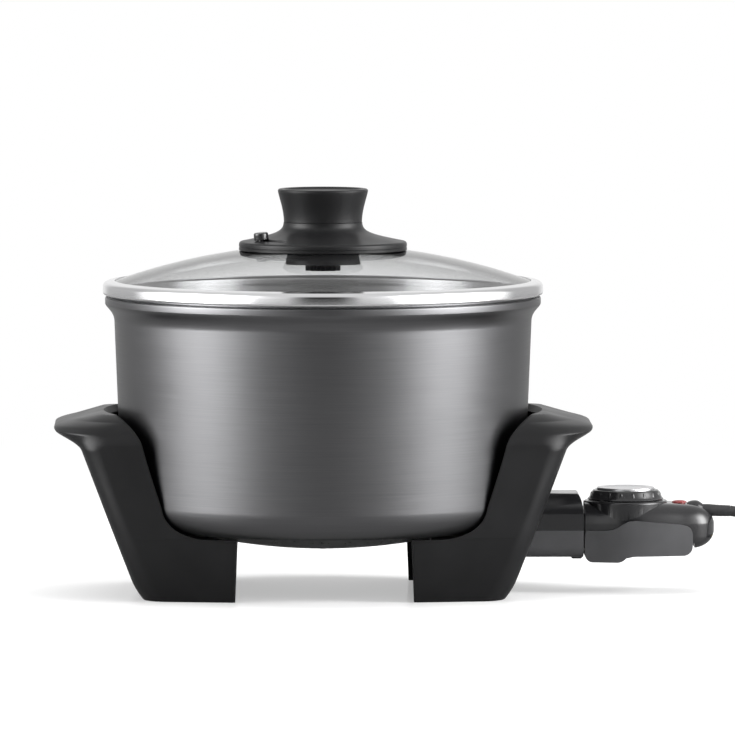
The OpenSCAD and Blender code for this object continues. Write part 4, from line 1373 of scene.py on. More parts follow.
@dataclass
class Socket:
    """Duct between the pot and the heat control: a hood over a cradle."""

    half: float = 25.0
    low: float = 23.8
    top: float = 65.0
    split: float = 41.4
    reach: float = 168.8
    wall: float = 3.0
    back: float = 4.4
    roll: float = 15.0
    # Radius of the lower and of the upper corners
    corners: Pair = (7, 13)
    inner_corners: Pair = (5, 10)
    plate: tuple[Point, Point] = ((97, -35, 27), (111, 35, 30))
    tongue: tuple[Point, Point] = ((104, -23.5, 27), (118, 23.5, 30))
    lug: tuple[Pair, Pair] = ((161.4, 21.6), (168.6, 24.3))
    lug_half: float = 6
    lug_edge: float = 1.296

    def outline(self, out: float) -> list[Pair]:
        """Outline of the duct, let out by a distance; a negative one draws it in.

        Args:
            out: The distance.

        Returns:
            The outline's points.
        """
        radii = [r + out for r in self.corners] if out >= 0 else self.inner_corners
        return round_box((-self.half - out, self.low - out), (self.half + out, self.top + out),
                         *radii, 10)

    def duct(self) -> Shape:
        """The whole duct.

        Returns:
            The shape.
        """
        reach, top, roll = self.reach, self.top, self.roll
        turns = [math.radians(a) for a in range(9, 91, 9)]
        mouth = [(reach, 0), (reach, top - roll),
                 *[(reach - self.back * (1 - math.cos(a)), top - roll * (1 - math.sin(a)))
                   for a in turns],
                 (reach - self.back - 1, top + 2), (reach + 20, top + 2), (reach + 20, 0)]
        return combine(prism(self.outline(0), "x", 110, reach + 2), Join.CUT,
                       prism(self.outline(-self.wall), "x", 100, reach + 4),
                       Pot().skin(top + 20),
                       prism(mouth, "y", -self.half - 5, self.half + 5))

    def build(self, bench: Bench) -> None:
        """Make the hood and the cradle.

        Args:
            bench: Where it goes.
        """
        bench.fit(cut_at(self.duct(), self.split, True), "socket_upper_moulding", Body.BASE,
                  Slot.GLOSS, "socket_hood", bevel=1.1, crease=38)
        plate = combine(block(*self.plate), Join.ADD, block(*self.tongue))
        (x0, z0), (x1, z1) = self.lug
        edge = self.lug_edge
        lug = prism([*arc((x0 + edge, z0 + edge), edge, 180, 270, 4),
                     *arc((x1 - edge, z0 + edge), edge, 270, 360, 4), (x1, z1), (x0, z1)],
                    "y", -self.lug_half, self.lug_half)
        shape = combine(cut_at(self.duct(), self.split, False), Join.ADD, plate, lug)
        shape = combine(shape, Join.CUT, gathered(
            [rod((x, y, self.plate[0][2] - 1), (x, y, self.plate[1][2] + 1), PLATE_HOLE_R)
             for x, y in reversed(SOCKET_BOSSES)]))
        bench.fit(shape, "socket_lower_moulding", Body.BASE, Slot.GREY, "socket_cradle",
                  bevel=0.5, crease=38)


@dataclass
class Lid:
    """Glass dome in a steel rim, with the knob, its cup and nut, and the steam lever."""

    lid_r: float = 143.0
    dome_r: float = 400.0
    rise: float = 33.4
    glass: float = 4.0
    band: float = 8.6
    hole_r: float = 4.5
    base_r: float = 54.6
    base_edge: float = 6.0
    waist_r: float = 25.4
    knob_r: float = 29.2
    waist_rise: float = 14.8
    grip_h: float = 22.0
    lever_at: float = 207.0
    lever_travel: float = 28.0
    lever_r: float = 45.0
    slot_half: float = 2.6
    shell: float = 2.4
    seat_r: float = 138.6
    inner_r: float = 131.8
    bore_r: float = 2.5
    lobes: int = 8

    def __post_init__(self) -> None:
        """Work out shared heights."""
        self.rim_z = Pot().rim_z
        self.top = self.rim_z + self.rise
        self.middle = self.top - self.dome_r
        self.waist_z = self.top + self.waist_rise
        self.edge_z = self.over(self.base_r) + 0.4
        self.flare = curve((self.waist_r + 0.2, self.waist_z),
                           (self.waist_r + 0.4, self.waist_z - 6),
                           (self.waist_r + 5, self.edge_z + self.base_edge + 4.4),
                           (self.base_r - 2.4, self.edge_z + self.base_edge), 30)

    def over(self, r: float) -> float:
        """Height of the glass's upper face at a radius."""
        return self.middle + math.sqrt(self.dome_r ** 2 - r * r)

    def under(self, r: float) -> float:
        """Height of the glass's lower face at a radius."""
        return self.middle + math.sqrt((self.dome_r - self.glass) ** 2 - r * r)

    def build_glass(self, bench: Bench) -> None:
        """Make the dome and its steel rim.

        Args:
            bench: Where it goes.
        """
        edge = self.lid_r - 2
        radii = [self.hole_r + (edge - self.hole_r) * i / 40 for i in range(41)]
        shape = lathe([*[(r, self.over(r)) for r in radii],
                       *[(r, self.under(r)) for r in reversed(radii)]], 216, True)
        bench.fit(shape, "glass_dome", Body.LID, Slot.GLASS, "lid_glass")
        lip, seat, inner, low = self.lid_r - 7.8, self.seat_r, self.inner_r, self.rim_z + 1.6
        section = [(lip, self.over(lip) + 0.12),
                   *arc((lip + 0.45, self.over(lip) + 0.5), 0.36, 200, 100, 4),
                   *arc((self.lid_r - 3.4, low + self.band - 3.6), 3.4, 78, 0, 10),
                   *arc((self.lid_r - 1.4, low + 1.4), 1.4, 0, -90, 8),
                   (self.lid_r - 3.2, low + 0.2), (seat + 0.6, self.rim_z + 0.3),
                   (seat, self.rim_z), (inner + 0.8, self.rim_z),
                   *arc((inner + 0.4, self.rim_z - 4.6), 0.4, 0, -180, 6),
                   (inner, self.rim_z + 2), (inner + 1.4, self.under(inner + 1.4) - 0.12),
                   (edge + 0.12, self.under(edge) - 0.12), (edge + 0.12, self.over(edge) + 0.12)]
        bench.fit(lathe(section, 216, True), "steel_rim", Body.LID, Slot.RIM, "lid_rim")

    def build_foot(self, bench: Bench) -> None:
        """Make the knob's foot with the lever's slot.

        Args:
            bench: Where it goes.
        """
        low, base, hole = self.edge_z, self.base_r, self.hole_r
        top = low + self.base_edge
        under = [(r - self.shell / 2, z - self.shell) for r, z in reversed(self.flare[7:])]
        shape = lathe([(hole, self.waist_z), *self.flare,
                       *arc((base - 2, top - 2.1), 2, 78, 0, 8), (base, low + 2.55),
                       *arc((base + 0.1, low + 2.1), 0.45, 100, 260, 6), (base, low + 1.65),
                       *arc((base - 0.5, low + 0.5), 0.5, 0, -90, 4), (base - self.shell, low),
                       *under, (self.waist_r - 4, self.waist_z - 6),
                       (hole + 5, self.waist_z - 6), (hole + 5, self.top + 1.2),
                       (hole, self.top + 1.2)], 192, True)
        r, half, z0, z1 = self.lever_r, self.slot_half, self.top - 4, self.top + 16
        ends = [moved(rod((r, 0, z0), (r, 0, z1), half), (0, 0, 0), a)
                for a in (self.lever_at, self.lever_at + self.lever_travel)]
        sweep = [self.lever_at + self.lever_travel * i / 12 for i in range(13)]
        arcs = [*[round_point(r - half, a) for a in sweep],
                *[round_point(r + half, a) for a in reversed(sweep)]]
        shape = combine(shape, Join.CUT, *ends, prism(arcs, "z", z0, z1))
        bench.fit(shape, "knob_foot", Body.LID, Slot.BLACK, "knob_base", crease=40)

    def build_grip(self, bench: Bench) -> None:
        """Make the knob's waisted grip.

        Args:
            bench: Where it goes.
        """
        low, r, k = self.waist_z, self.waist_r, self.knob_r
        z = low + self.grip_h
        grip = [(self.hole_r, low), (r - 0.6, low), *arc((r - 0.4, low + 0.4), 0.4, -90, 0, 3),
                *curve((r, low + 0.5), (r + 0.2, low + 8), (k - 1.6, z - 9), (k, z - 2.4),
                       22)[1:],
                *arc((k - 1.3, z - 1.6), 1.4, 8, 90, 8),
                *curve((k - 3.2, z - 0.25), (k - 4, z - 0.4), (k - 4.2, z - 1.2),
                       (k - 5.2, z - 1.5), 8),
                *[(x, z - 1.5 - 0.7 * (1 - (x / (k - 5.2)) ** 2)) for x in (20, 15, 10, 5, 0)],
                (0, low + 10), (self.hole_r, low + 10)]
        bench.fit(lathe(grip, 192), "knob_top", Body.LID, Slot.BLACK, "knob_grip")

    def build_clamp(self, bench: Bench) -> None:
        """Make the cup, nut, washer and screw under the glass.

        Args:
            bench: Where it goes.
        """
        top, bore = self.under(0) - 1.8, self.bore_r
        cup = [(bore, top), (21.6, top), *arc((22.2, top - 0.8), 0.8, 90, 20, 4),
               (23.9, top - 4.5), (24.4, top - 6.9), *arc((23.7, top - 6.9), 0.5, 0, -180, 5),
               (21.9, top - 4.5), (21.2, top - 2.0), (bore, top - 2.0)]
        bench.fit(lathe(cup, 96, True), "clamp_cup", Body.LID, Slot.CUP, "under_washer")
        low = top - 9
        lobes = []
        for i in range(160):
            a = math.tau * i / 160
            r = 9.6 + 1.8 * max(-0.2, math.cos(self.lobes * a))
            lobes.append((r * math.cos(a), r * math.sin(a)))
        nut = combine(prism(lobes, "z", low - 2.4, low + 6.98), Join.CUT,
                      rod((0, 0, low - 3), (0, 0, low + 10), bore))
        bench.fit(nut, "lobed_nut", Body.LID, Slot.BLACK, "clamp_nut", bevel=0.5, crease=50)
        washer = [(bore, top), (18.6, top), (18.6, top + 1.2), (bore, top + 1.2)]
        bench.fit(lathe(washer, 96, True), "soft_washer", Body.LID, Slot.GASKET,
                  "glass_gasket", bevel=0.2)
        screw = moved(Screws().one(self.waist_z + 8 - low, 5.2, 1.8), (0, 0, low))
        bench.fit(screw, "knob_pan_screw", Body.LID, Slot.STEEL, "knob_screw")

    def build_lever(self, bench: Bench) -> None:
        """Make the steam lever: curved strip under the foot, stem and round head.

        Args:
            bench: Where it goes.
        """
        r = self.lever_r
        low = self.over(r - 9) + 0.35
        by_reach = sorted(self.flare)
        slope_z = look_up(r, by_reach) + 0.5
        slope = math.atan((look_up(r - 4, by_reach) - look_up(r + 4, by_reach)) / 8)
        turns = [-35 + 70 * i / 24 for i in range(25)]
        plan = [*[round_point(r - 9, a) for a in turns],
                *[round_point(r + 2.5, a) for a in reversed(turns)]]
        head = lathe([(0, 0), (4, 0), *arc((4.2, 0.6), 0.6, -90, 0, 3), (4.7, 3.5),
                      *arc((3.6, 3.7), 1.1, 0, 80, 5), (2.5, 4.9), (0, 5)], 48)
        head = moved(head, (r, 0, slope_z - 0.3), math.degrees(slope / 2), "Y")
        shape = combine(prism(plan, "z", low, low + 1.1), Join.ADD,
                        rod((r, 0, low + 0.2), (r, 0, slope_z + 1), 2.2), head)
        bench.fit(moved(shape, (0, 0, 0), self.lever_at), "vent_lever", Body.LEVER, Slot.GLOSS,
                  "steam_lever", crease=40)

    def build(self, bench: Bench) -> None:
        """Make the whole lid.

        Args:
            bench: Where it goes.
        """
        for part in (self.build_glass, self.build_foot, self.build_grip, self.build_clamp,
                     self.build_lever):
            part(bench)


@dataclass
class Control:
    """Plug-in heat control: two housing shells, the lead's collar, dial, trigger and lens."""

    top: float = 58.5
    split: float = 43.5
    reach: float = 254.5
    tail: float = 240.0
    base: float = 27.0
    wall: float = 2.4
    tail_drop: float = 1.4
    dial_x: float = 197.0
    dial_r: float = 24.6
    dial_ribs: int = 18
    shaft_hole: float = 3.05
    drum_r: float = 27.2
    lens_x: float = 232.0
    lens_r: float = 5.0
    relief_x: float = 242.5
    relief_z: float = 52.8
    relief_r: float = 3.9
    collar_r: float = 6.4
    pin_x: float = 184.0
    pin_z: float = 30.5
    pin_hole: float = 1.8
    trigger_x: float = 169.6
    trigger_low: float = 24.8
    trigger_wall: float = 2.2
    trigger_gap: float = 0.7
    spring_x: float = 226
    spring_r: float = 3.6
    spring_wire: float = 0.45
    spring_z: Pair = (27.25, 32.35)
    spring_turns: int = 3
    halves: tuple[Pair, ...] = (
        (170, 22), (176, 23.2), (185, 25.6), (193, 27.2), (199, 27.6), (208, 27), (220, 24.6),
        (232, 21.6), (240, 19.4), (246, 16.9), (250.5, 12.8), (253.4, 7.4), (254.5, 3.4))

    def half(self, x: float) -> float:
        """Half the housing's width."""
        return flow(x, self.halves)

    def high(self, x: float) -> float:
        """Height of the housing's top.

        Args:
            x: Place along the housing.

        Returns:
            The height.
        """
        if x < self.tail - 4:
            sink = (max(0.0, x - 210) / (self.tail - 214)) ** 2
            return self.top - self.tail_drop * sink
        down = (x - self.tail + 4) / (self.reach - self.tail + 4.1)
        return self.split + 0.6 + (self.top - self.tail_drop - self.split - 0.6) * math.sqrt(
            max(0.02, 1 - down ** 2))

    def low(self, x: float) -> float:
        """Height of the housing's underside.

        Args:
            x: Place along the housing.

        Returns:
            The height.
        """
        if x < self.tail:
            return self.base
        down = (x - self.tail) / (self.reach - self.tail + 0.1)
        back = math.sqrt(max(0.02, 1 - down ** 2))
        return self.split - 3 - (self.split - 32) * back

    def ring(self, x: float, inset: float) -> list[Point]:
        """Section of the housing at x, drawn in by a distance.

        Args:
            x: Place along the housing.
            inset: The distance.

        Returns:
            The section's points.
        """
        b, top, low = self.half(x) - inset, self.high(x) - inset, self.low(x) + inset
        upper = min(13 - inset, b * 0.6, (top - low) * 0.42)
        lower = min(7 - inset, b * 0.4, (top - low) * 0.3)
        return [(x, y, z) for y, z in round_box((-b, low), (b, top), lower, upper, 12)]

    def outside(self) -> Shape:
        """The housing's outside as a solid.

        Returns:
            The shape.
        """
        turns = (8, 16, 25, 34, 43, 52, 60, 68, 75, 81, 86, 90)
        length = self.reach - self.tail
        tail = [self.tail + length * math.sin(math.radians(a)) for a in turns]
        return loft([self.ring(x, 0) for x in [170 + 2.5 * i for i in range(29)] + tail])

    def inside(self) -> Shape:
        """The housing's hollow as a solid.

        Returns:
            The shape.
        """
        places = [172.4, *[176 + 4 * i for i in range(17)], 243, 246, 250]
        return loft([self.ring(x, self.wall) for x in places])

    def build_upper(self, bench: Bench) -> None:
        """Make the upper shell with the dial's drum and the lead's collar.

        Args:
            bench: Where it goes.
        """
        dial, split = self.dial_x, self.split
        drum_top, edge = self.top + 1.1, 1.4
        drum = moved(lathe([(0, split), (self.drum_r, split),
                            *arc((self.drum_r - edge, drum_top - edge), edge, 0, 90, 8),
                            (0, drum_top)]), (dial, 0, 0))
        z, hole, ring = self.relief_z, self.relief_r, self.collar_r
        collar = lathe([(0, -5.5),
                        *curve((hole + 1, -5.5), (ring - 0.2, -4), (ring, -2), (ring, -0.4), 8),
                        *curve((ring, 0.2), (ring, 2), (hole + 1, 3.6), (hole + 0.4, 4.5), 8),
                        (0, 4.5)], 48)
        collar = moved(collar, (self.relief_x, 0, z), 90, "Y")
        hollow = combine(cut_at(self.inside(), split - 1, True), Join.ADD,
                         rod((dial, 0, split - 1), (dial, 0, self.top - self.wall),
                             self.drum_r - self.wall, sides=96))
        lens_z = self.high(self.lens_x)
        shape = combine(cut_at(self.outside(), split, True), Join.ADD, drum, collar)
        shape = combine(shape, Join.CUT, hollow, rod((dial, 0, 50), (dial, 0, 80), self.shaft_hole),
                        rod((self.tail - 5, 0, z), (self.reach + 5, 0, z), hole + 0.1),
                        rod((self.lens_x, 0, lens_z - 6), (self.lens_x, 0, lens_z + 6),
                            self.lens_r - 0.9), block(NOSE_LOW, (*NOSE_HIGH, 52)))
        bench.fit(shape, "housing_top", Body.CONTROL, Slot.GLOSS, "probe_upper_shell",
                  crease=34, bevel=0.35)

    def build_lower(self, bench: Bench) -> None:
        """Make the lower shell.

        Args:
            bench: Where it goes.
        """
        tail, x, z = self.tail, self.pin_x, self.pin_z
        hollow = combine(cut_at(self.inside(), self.split + 1, False), Join.CUT,
                         block((194, -40, 0), (tail + 3.8, 40, 34.6)))
        shape = combine(cut_at(self.outside(), self.split, False), Join.CUT,
                        block((197, -40, 0), (tail + 1.4, 40, 32.4)), hollow,
                        rod((x, -40, z), (x, 40, z), self.pin_hole, sides=24),
                        *[rod((sx, sy, 20), (sx, sy, sz), 3) for sx, sy, sz in HOUSING_SCREWS],
                        block(NOSE_LOW, (*NOSE_HIGH, 60)))
        bench.fit(shape, "housing_bottom", Body.CONTROL, Slot.GLOSS, "probe_lower_shell",
                  crease=34, bevel=0.35)

    def plan(self, x0: float, x1: float, out: float) -> list[Pair]:
        """Plan outline of the housing, let out by a distance.

        Args:
            x0: Where it starts.
            x1: Where it ends.
            out: The distance.

        Returns:
            The outline's points.
        """
        xs = [x0 + (x1 - x0) * i / 28 for i in range(29)]
        return [*[(x, -self.half(x) - out) for x in xs],
                *[(x, self.half(x) + out) for x in reversed(xs)]]

    def floor_line(self, inset: float) -> list[Pair]:
        """The trigger's underside, drawn in by a distance.

        Args:
            inset: The distance.

        Returns:
            Points from the front to the back.
        """
        low = self.trigger_low
        return [*arc((self.trigger_x + 5.2, low + 1.2), 5.2 - inset, 180, 270, 8),
                *arc((190, low + 4), 8 - inset, 270, 320, 10),
                *curve((197.2, low - 1.3 + inset), (199, low - 0.3 + inset),
                       (201, low + inset * 0.9), (204.5, low + inset * 0.9), 6)[2:],
                (224, low + inset)]

    def build_trigger(self, bench: Bench) -> None:
        """Make the squeeze lever, its pin and its spring.

        Args:
            bench: Where it goes.
        """
        start, end, low, wall = (self.trigger_x, self.tail - 0.2, self.trigger_low,
                                 self.trigger_wall)
        side = [*self.floor_line(0), *arc((end - 6, low + 6), 6, 270, 360, 10),
                *arc((end - 6, 38.4), 6, 0, 80, 10), (232, 45.1), (202, 48.05),
                *arc((201.6, 46.4), 1.6, 96, 130, 4),
                *curve((199.4, 47.9), (193, 46.4), (191.4, 41.7), (183, 41.4), 14),
                (start + 0.5, 41.2), (start, 36)]
        body = combine(prism(self.plan(start, end, self.trigger_gap + wall), "z", 0, 60),
                       Join.KEEP, prism(side, "y", -40, 40))
        room = [*self.floor_line(wall), (end + 5, low + wall), (end + 5, 70), (150, 70),
                (150, 26), (170, 26)]
        room = combine(prism(self.plan(160, end + 10, self.trigger_gap), "z", 0, 80), Join.KEEP,
                       prism(room, "y", -40, 40))
        shape = combine(body, Join.CUT, room, rod(
            (self.pin_x, -27.7, self.pin_z), (self.pin_x, 27.7, self.pin_z),
            self.pin_hole + 0.05))
        bench.fit(shape, "squeeze_lever", Body.TRIGGER, Slot.GREY, "trigger", crease=34,
                  bevel=1.0)
        bench.carry(Body.CONTROL, Slot.STEEL, "trigger_pin")
        self.build_spring(bench)

    def build_spring(self, bench: Bench) -> None:
        """Make the coil spring over the trigger's floor.

        Args:
            bench: Where it goes.
        """
        (low, high), wire = self.spring_z, self.spring_wire
        turns, steps = self.spring_turns, 28 * self.spring_turns
        rise = (high - low - 2 * wire) / steps
        shape = bmesh.new()
        bmesh.ops.create_circle(shape, segments=12, radius=wire, cap_ends=True)
        shape = moved(shape, (self.spring_r, 0, 0), 90, "X")
        bmesh.ops.spin(shape, geom=[*shape.verts, *shape.edges, *shape.faces], cent=(0, 0, 0),
                       axis=(0, 0, 1), dvec=(0, 0, rise), angle=math.tau * turns, steps=steps)
        bmesh.ops.recalc_face_normals(shape, faces=shape.faces)
        spring = bench.fit(moved(shape, (self.spring_x, 0, low + wire)), "return_spring",
                           Body.CONTROL, Slot.STEEL, "trigger_spring")
        spring.modifiers.clear()
        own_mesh(spring)

    def build_dial(self, bench: Bench) -> None:
        """Make the ribbed skirt, the silver cap and the shaft.

        Args:
            bench: Where it goes.
        """
        low, r = self.top + 1.5, self.dial_r
        skirt = lathe([(0, low), (r - 0.3, low), (r, low + 0.3), (r, low + 0.8),
                       *curve((r - 0.6, low + 1.2), (r - 1.6, low + 2.6), (r - 2.2, low + 4.2),
                              (r - 2.9, low + 5.4), 8),
                       *curve((r - 3.0, low + 5.6), (r - 3.3, low + 6.3), (r - 4.2, low + 6.5),
                              (r - 5.6, low + 6.5), 6), (r - 5.6, low + 5), (0, low + 5)])
        ribs = []
        for i in range(self.dial_ribs):
            rib = rod((r - 2.85, 0, low + 0.6), (r - 2.85, 0, low + 5.0), 2.15, 0.75, sides=20)
            rim = [e for e in rib.edges if all(v.co.z > low + 4 for v in e.verts)]
            round_edges(rib, rim, 0.35, 2)
            ribs.append(moved(rib, (0, 0, 0), 360 // self.dial_ribs * i))
        shape = moved(combine(skirt, Join.ADD, gathered(ribs)), (self.dial_x, 0, 0))
        bore = rod((self.dial_x, 0, low - 1), (self.dial_x, 0, low + 4), 3.0)
        bench.fit(combine(shape, Join.CUT, bore), "dial_skirt_ribbed", Body.DIAL, Slot.GLOSS,
                  "dial_skirt", crease=40)
        r, top = r - 5.8, low + 8
        cap = [(0, low + 5), (r, low + 5), (r, top - 0.9),
               *arc((r - 0.8, top - 0.8), 0.8, 0, 90, 5),
               *curve((r - 4.4, top), (r - 5, top), (r - 5, top - 0.5), (r - 5.8, top - 0.5),
                      5), *[(x, top - 0.5) for x in (9, 6, 3, 0)]]
        bench.fit(moved(lathe(cap), (self.dial_x, 0, 0)), "dial_disc", Body.DIAL, Slot.CAP,
                  "dial_cap")
        bench.carry(Body.DIAL, Slot.STEEL, "dial_shaft")

    def build_lens(self, bench: Bench) -> None:
        """Make the indicator's lens and lamp.

        Args:
            bench: Where it goes.
        """
        z, r = self.high(self.lens_x), self.lens_r
        turns = [math.radians(a) for a in range(0, 90, 9)]
        dome = [(0, -3), (r - 1, -3), (r - 1, 0.3), (r, 0.3), (r, 0.5),
                *[((r - 0.2) * math.cos(a), 0.6 + 1.3 * math.sin(a)) for a in turns], (0, 1.9)]
        bench.fit(moved(lathe(dome, 64), (self.lens_x, 0, z)), "indicator_window",
                  Body.CONTROL, Slot.LENS, "indicator_lens")
        bench.carry(Body.CONTROL, Slot.LAMP, "indicator_lamp")

    def build(self, bench: Bench) -> None:
        """Make the whole heat control but its lead.

        Args:
            bench: Where it goes.
        """
        for part in (self.build_upper, self.build_lower, self.build_trigger, self.build_dial,
                     self.build_lens):
            part(bench)
        bench.carry(Body.CONTROL, Slot.GREY, "probe_nose")
        bench.carry(Body.CONTROL, Slot.STEEL, "sensor_rod", "thermostat_frame")
        bench.carry(Body.CONTROL, Slot.BRASS, "contact_sleeves", "bimetal_blade",
                    "switch_blades")


@dataclass
class Lead:
    """Mains lead from the heat control to its plug, with its coil, tie, relief and plug."""

    radius: float = 3.45
    route: tuple[Point, ...] = (
        (265.2, 0, 52.2), (279, 0, 50), (293, 0, 45.5), (306, 0, 38.5), (318, 0, 30),
        (329, 0, 21.5), (341, 0, 14), (354, 0, 8), (368, 0, 4.4), (382, 0, 3.5), (387, 0, 3.5))
    coil_x: float = 394.5
    coil_r: float = 38.0
    turns: int = 2
    steps: int = 24
    run_out: float = 26.0
    relief: tuple[Point, ...] = ((238.5, 0, 52.8), (250.5, 0, 52.8), (257.5, 0, 52.4),
                                 (265, 0, 52.2))
    relief_marks: tuple[float, ...] = (0, 12, 19, 26.51)
    relief_length: float = 26.9
    relief_r: float = 3.9
    relief_taper: float = 0.3
    taper_from: float = 13
    grooved: Pair = (17, 25.5)
    groove_step: float = 2.2
    groove_depth: float = 0.07
    # Distance back from the lead, half width and half height
    plug: tuple[Point, ...] = (
        (0, 3.9, 3.9), (1.2, 4.3, 4.3), (4, 4.7, 4.7), (8, 5.1, 5.1), (12, 5.4, 5.4),
        (16, 5.8, 5.8), (20, 6.4, 6.2), (22.6, 8.6, 7.4), (24.5, 11.6, 9.2),
        (26.5, 13.6, 10.4), (29, 14.6, 10.9), (32, 15, 11.1), (36, 14.4, 11.1),
        (40, 14.5, 11.1), (43.6, 15, 11.1), (45.2, 14.8, 10.9), (45.8, 14.2, 10.3),
        (46, 13.4, 9.5))
    plug_grooves: Pair = (4, 12)
    plug_groove: float = 0.35
    blade: tuple[Point, Point] = ((-17, -0.8, -3.2), (0.5, 0.8, 3.2))
    # Place across and up, and turn in degrees
    blades: tuple[Point, ...] = ((-7.9, 2.6, -30), (7.9, 2.6, 30), (0, -6.8, 0))
    squared_from: float = 20
    squaring: float = 0.28
    strap_half: float = 6
    strap_wall: float = 0.55
    strap_gap: float = 0.25
    strap_low: float = 0.62

    def __post_init__(self) -> None:
        """Work out the coil's place."""
        self.lie_z = self.radius + 0.05
        self.pitch = 2 * self.radius + 0.6
        self.last = 2 * self.turns + 0.5
        self.coil_y = self.reach(0)

    def reach(self, n: float) -> float:
        """Distance of the lead from the coil's axis after n turns.

        Args:
            n: The turns.

        Returns:
            The distance.
        """
        if n < self.turns:
            back = n
        elif n < self.turns + 0.5:
            back = self.turns + (1 - math.cos(4 * math.pi * (n - self.turns))) / 2
        else:
            back = self.last - n
        return self.coil_r + self.pitch * (self.turns / 2 - back)

    def height(self, n: float) -> float:
        """Height of the lead after n turns."""
        up = min(max(n - self.turns, 0.0), 0.5)
        return self.lie_z + (2 * self.radius + 0.7) * (1 - math.cos(math.tau * up)) / 2

    def coil_point(self, n: float) -> Point:
        """Place of the lead after n turns.

        Args:
            n: The turns.

        Returns:
            The place.
        """
        a = math.tau * n - math.pi / 2
        return (self.coil_x + self.reach(n) * math.cos(a),
                self.coil_y + self.reach(n) * math.sin(a), self.height(n))

    def end(self) -> Point:
        """Where the lead enters the plug."""
        x, y, z = self.coil_point(self.last)
        return (x - self.run_out, y, z)

    def path(self) -> list[Vector]:
        """The lead's centre line in the frame, in metres.

        Returns:
            Places from the relief to the plug.
        """
        points = [*self.route[:-1], (self.route[-1][0], self.coil_point(0)[1], self.lie_z),
                  *[self.coil_point(i / self.steps)
                    for i in range(int(self.last * self.steps) + 1)], self.end()]
        return [Vector((x + SHIFT, y, z)) * MM for x, y, z in points]

    def build_lead(self, finish: bpy.types.Material) -> None:
        """Make the lead as one curve.

        Args:
            finish: The sleeve's material.
        """
        line = self.path()
        data = bpy.data.curves.new("mains_lead", "CURVE")
        data.dimensions = "3D"
        spline = data.splines.new("POLY")
        spline.points.add(len(line) - 1)
        for point, where in zip(spline.points, line):
            point.co = (*where, 1.0)
        data.bevel_depth = self.radius * MM
        data.bevel_resolution = 6
        data.use_fill_caps = True
        data.materials.append(finish)
        lead = linked("mains_lead", data)
        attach(lead, Body.CONTROL.value)
        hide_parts("lead", "lead_coil")

    def build_relief(self, bench: Bench) -> None:
        """Make the tapered strain relief with its flexing grooves.

        Args:
            bench: Where it goes.
        """
        line, marks = [Vector(point) for point in self.relief], self.relief_marks
        rings = []
        start, end = self.grooved
        turns = [math.tau * j / 40 for j in range(40)]
        for i in range(54):
            s = self.relief_length * i / 53
            k = max(j for j in range(3) if marks[j] <= s)
            spot = line[k].lerp(line[k + 1], (s - marks[k]) / (marks[k + 1] - marks[k]))
            taper = self.relief_taper * max(0.0, s - self.taper_from) / 13.5
            wave = math.sin((s - start) * math.tau / self.groove_step)
            groove = self.groove_depth * max(0.0, wave) if start < s < end else 0.0
            r = self.relief_r - taper - groove - 0.1 * max(0.0, (s - 26.4) / 0.5)
            rings.append([(spot.x, r * math.cos(a), spot.z + r * math.sin(a)) for a in turns])
        bench.fit(loft(rings), "relief_sleeve", Body.CONTROL, Slot.CORD, "strain_relief")

    def build_plug(self, bench: Bench) -> None:
        """Make the plug's body and its three flat blades.

        Args:
            bench: Where it goes.
        """
        x0, y0, z0 = self.end()
        rings = []
        for back, wide, high in self.plug:
            power = 2 / min(4.6, 2 + self.squaring * max(0.0, back - self.squared_from))
            groove = self.plug_groove if back in self.plug_grooves else 0.0
            ring = []
            for j in range(64):
                c, s = (turn(math.tau * j / 64) for turn in (math.cos, math.sin))
                ring.append((x0 - back,
                             y0 + (wide - groove) * math.copysign(abs(c) ** power, c),
                             z0 + (high - groove) * math.copysign(abs(s) ** power, s)))
            rings.append(ring)
        bench.fit(loft(rings), "plug_moulding", Body.CONTROL, Slot.CORD, "plug_body", crease=50)
        blades = []
        face_x, tip_x = x0 - self.plug[-1][0], self.blade[0][0] + 1
        for across, high, turn in self.blades:
            blade = block(*self.blade)
            tip = [edge for edge in blade.edges if all(vert.co.x < tip_x for vert in edge.verts)]
            round_edges(blade, tip, 0.5, 3)
            blades.append(moved(blade, (face_x, y0 + across, z0 + high), turn, "X"))
        bench.fit(gathered(blades), "plug_blades", Body.CONTROL, Slot.BRASS, "plug_pins")

    def build_tie(self, bench: Bench, finish: bpy.types.Material) -> None:
        """Make the strap that holds the coil, on the side nearest the cooker.

        Args:
            bench: Where it goes.
            finish: The strap's material.
        """
        r = self.radius + self.strap_gap
        near, far = self.coil_x - self.reach(0.75), self.coil_x - self.reach(1.75)
        low, high = self.lie_z, self.height(3)
        outline = [(x, max(z, self.strap_low)) for x, z in [
            *arc((near, low), r, 180, 270, 6), *arc((far, low), r, 270, 360, 6),
            *arc((far, high), r, 0, 90, 6), *arc((near, high), r, 90, 180, 6)]]
        shape, half = bmesh.new(), self.strap_half
        ring = [shape.verts.new((x, self.coil_y - half, z)) for x, z in outline]
        edges = [shape.edges.new(pair) for pair in zip(ring, ring[1:] + ring[:1])]
        made = bmesh.ops.extrude_edge_only(shape, edges=edges)["geom"]
        bmesh.ops.translate(shape, vec=(0, 2 * half, 0),
                            verts=[v for v in made if isinstance(v, bmesh.types.BMVert)])
        bmesh.ops.recalc_face_normals(shape, faces=shape.faces)
        bmesh.ops.solidify(shape, geom=shape.faces[:], thickness=-self.strap_wall)
        bmesh.ops.recalc_face_normals(shape, faces=shape.faces)
        tie = bench.fit(shape, "coil_tie", Body.CONTROL, Slot.CORD)
        tie.data.materials[0] = finish


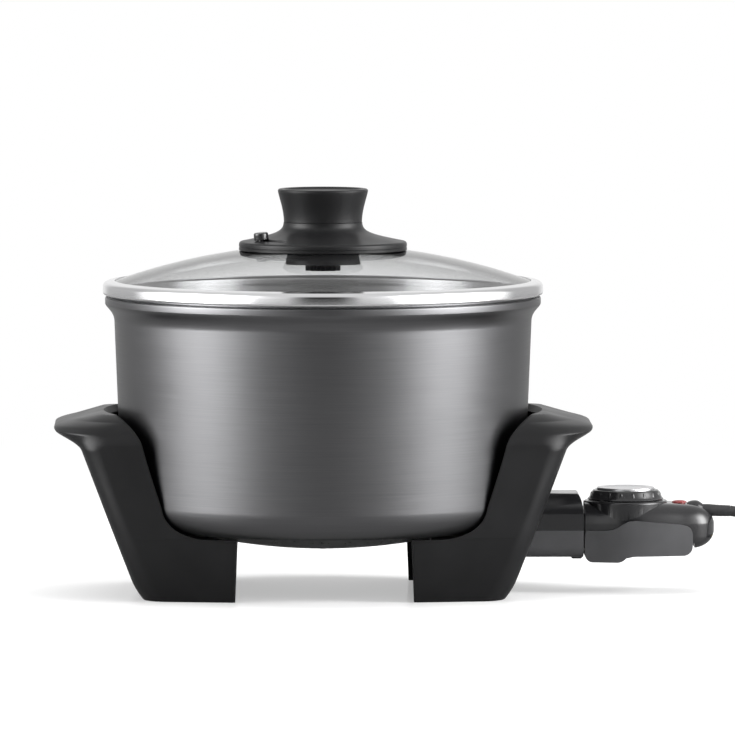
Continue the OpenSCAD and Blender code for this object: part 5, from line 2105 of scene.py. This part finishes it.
def finished() -> dict[Slot, bpy.types.Material]:
    """Make the finish of each slot.

    Returns:
        The materials by slot.
    """
    pot_x, dial_x = SHIFT * MM, (Control.dial_x + SHIFT) * MM
    finishes = {
        Slot.POT: Turned("brushed cast pot", (0.145, 0.145, 0.149), pot_x, 0.33, 2600.0,
                         0.000006, 0.08),
        Slot.BLACK: Moulding("satin black moulding", (0.011, 0.011, 0.0115), 0.36, shine=0.2),
        Slot.GLOSS: Moulding("gloss black moulding", (0.012, 0.012, 0.013), 0.2,
                             depth=0.000006, coat=0.3),
        Slot.GREY: Moulding("satin grey moulding", (0.07, 0.07, 0.073), 0.4, shine=0.25),
        Slot.RIM: Turned("polished rim", (0.78, 0.78, 0.79), pot_x, 0.12, 3000.0, 0.000003,
                         0.04),
        Slot.STEEL: Metal("plated steel", (0.62, 0.62, 0.63), 0.32, 0.04),
        Slot.GLASS: Clear("dome glass", (0.97, 0.976, 0.978), ior=1.2),
        Slot.CUP: Moulding("light grey cup", (0.5, 0.5, 0.52), 0.4),
        Slot.GASKET: Moulding("washer rubber", (0.2, 0.2, 0.2), 0.6, 900.0, 0.00003),
        Slot.SHEATH: Metal("heater sheath", (0.13, 0.125, 0.11), 0.45, 0.3),
        Slot.BRASS: Metal("brass", (0.8, 0.6, 0.28)),
        Slot.CAP: Turned("spun disc", (0.72, 0.72, 0.73), dial_x, 0.3, 3600.0, 0.00001, 0.1),
        Slot.LENS: Clear("red lens", (0.4, 0.07, 0.07), 0.2, transmission=0.35),
        Slot.LAMP: Clear("lamp glass", (0.9, 0.55, 0.3), 0.05, transmission=0.7),
        Slot.CORD: Sleeve("lead sleeve"),
    }
    return {slot: finish.make() for slot, finish in finishes.items()}


def main() -> None:
    """Build the whole scene."""
    logging.basicConfig(level=logging.INFO, format="%(name)s: %(message)s")
    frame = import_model()
    bench = Bench(frame["nodes"], finished())
    studio = Studio()
    studio.camera()
    lead = Lead()
    lead.build_relief(bench)
    lead.build_plug(bench)
    lead.build_tie(bench, Sleeve("tie strap", (0.03, 0.03, 0.032), 0.8).make())
    lead.build_lead(bench.finishes[Slot.CORD])
    studio.build()
    Pot().build(bench, Coat("non-stick coat").make())
    socket = Socket()
    Leg().build(bench, "left_leg_moulding", "leg_left", None)
    Leg().build(bench, "right_leg_moulding", "leg_right", socket)
    socket.build(bench)
    Screws().build(bench)
    Lid().build(bench)
    Control().build(bench)
    bench.carry(Body.BASE, Slot.STEEL, "base_cover", "terminal_pins")
    bench.carry(Body.BASE, Slot.SHEATH, "heating_element")


if __name__ == "__main__":
    main()
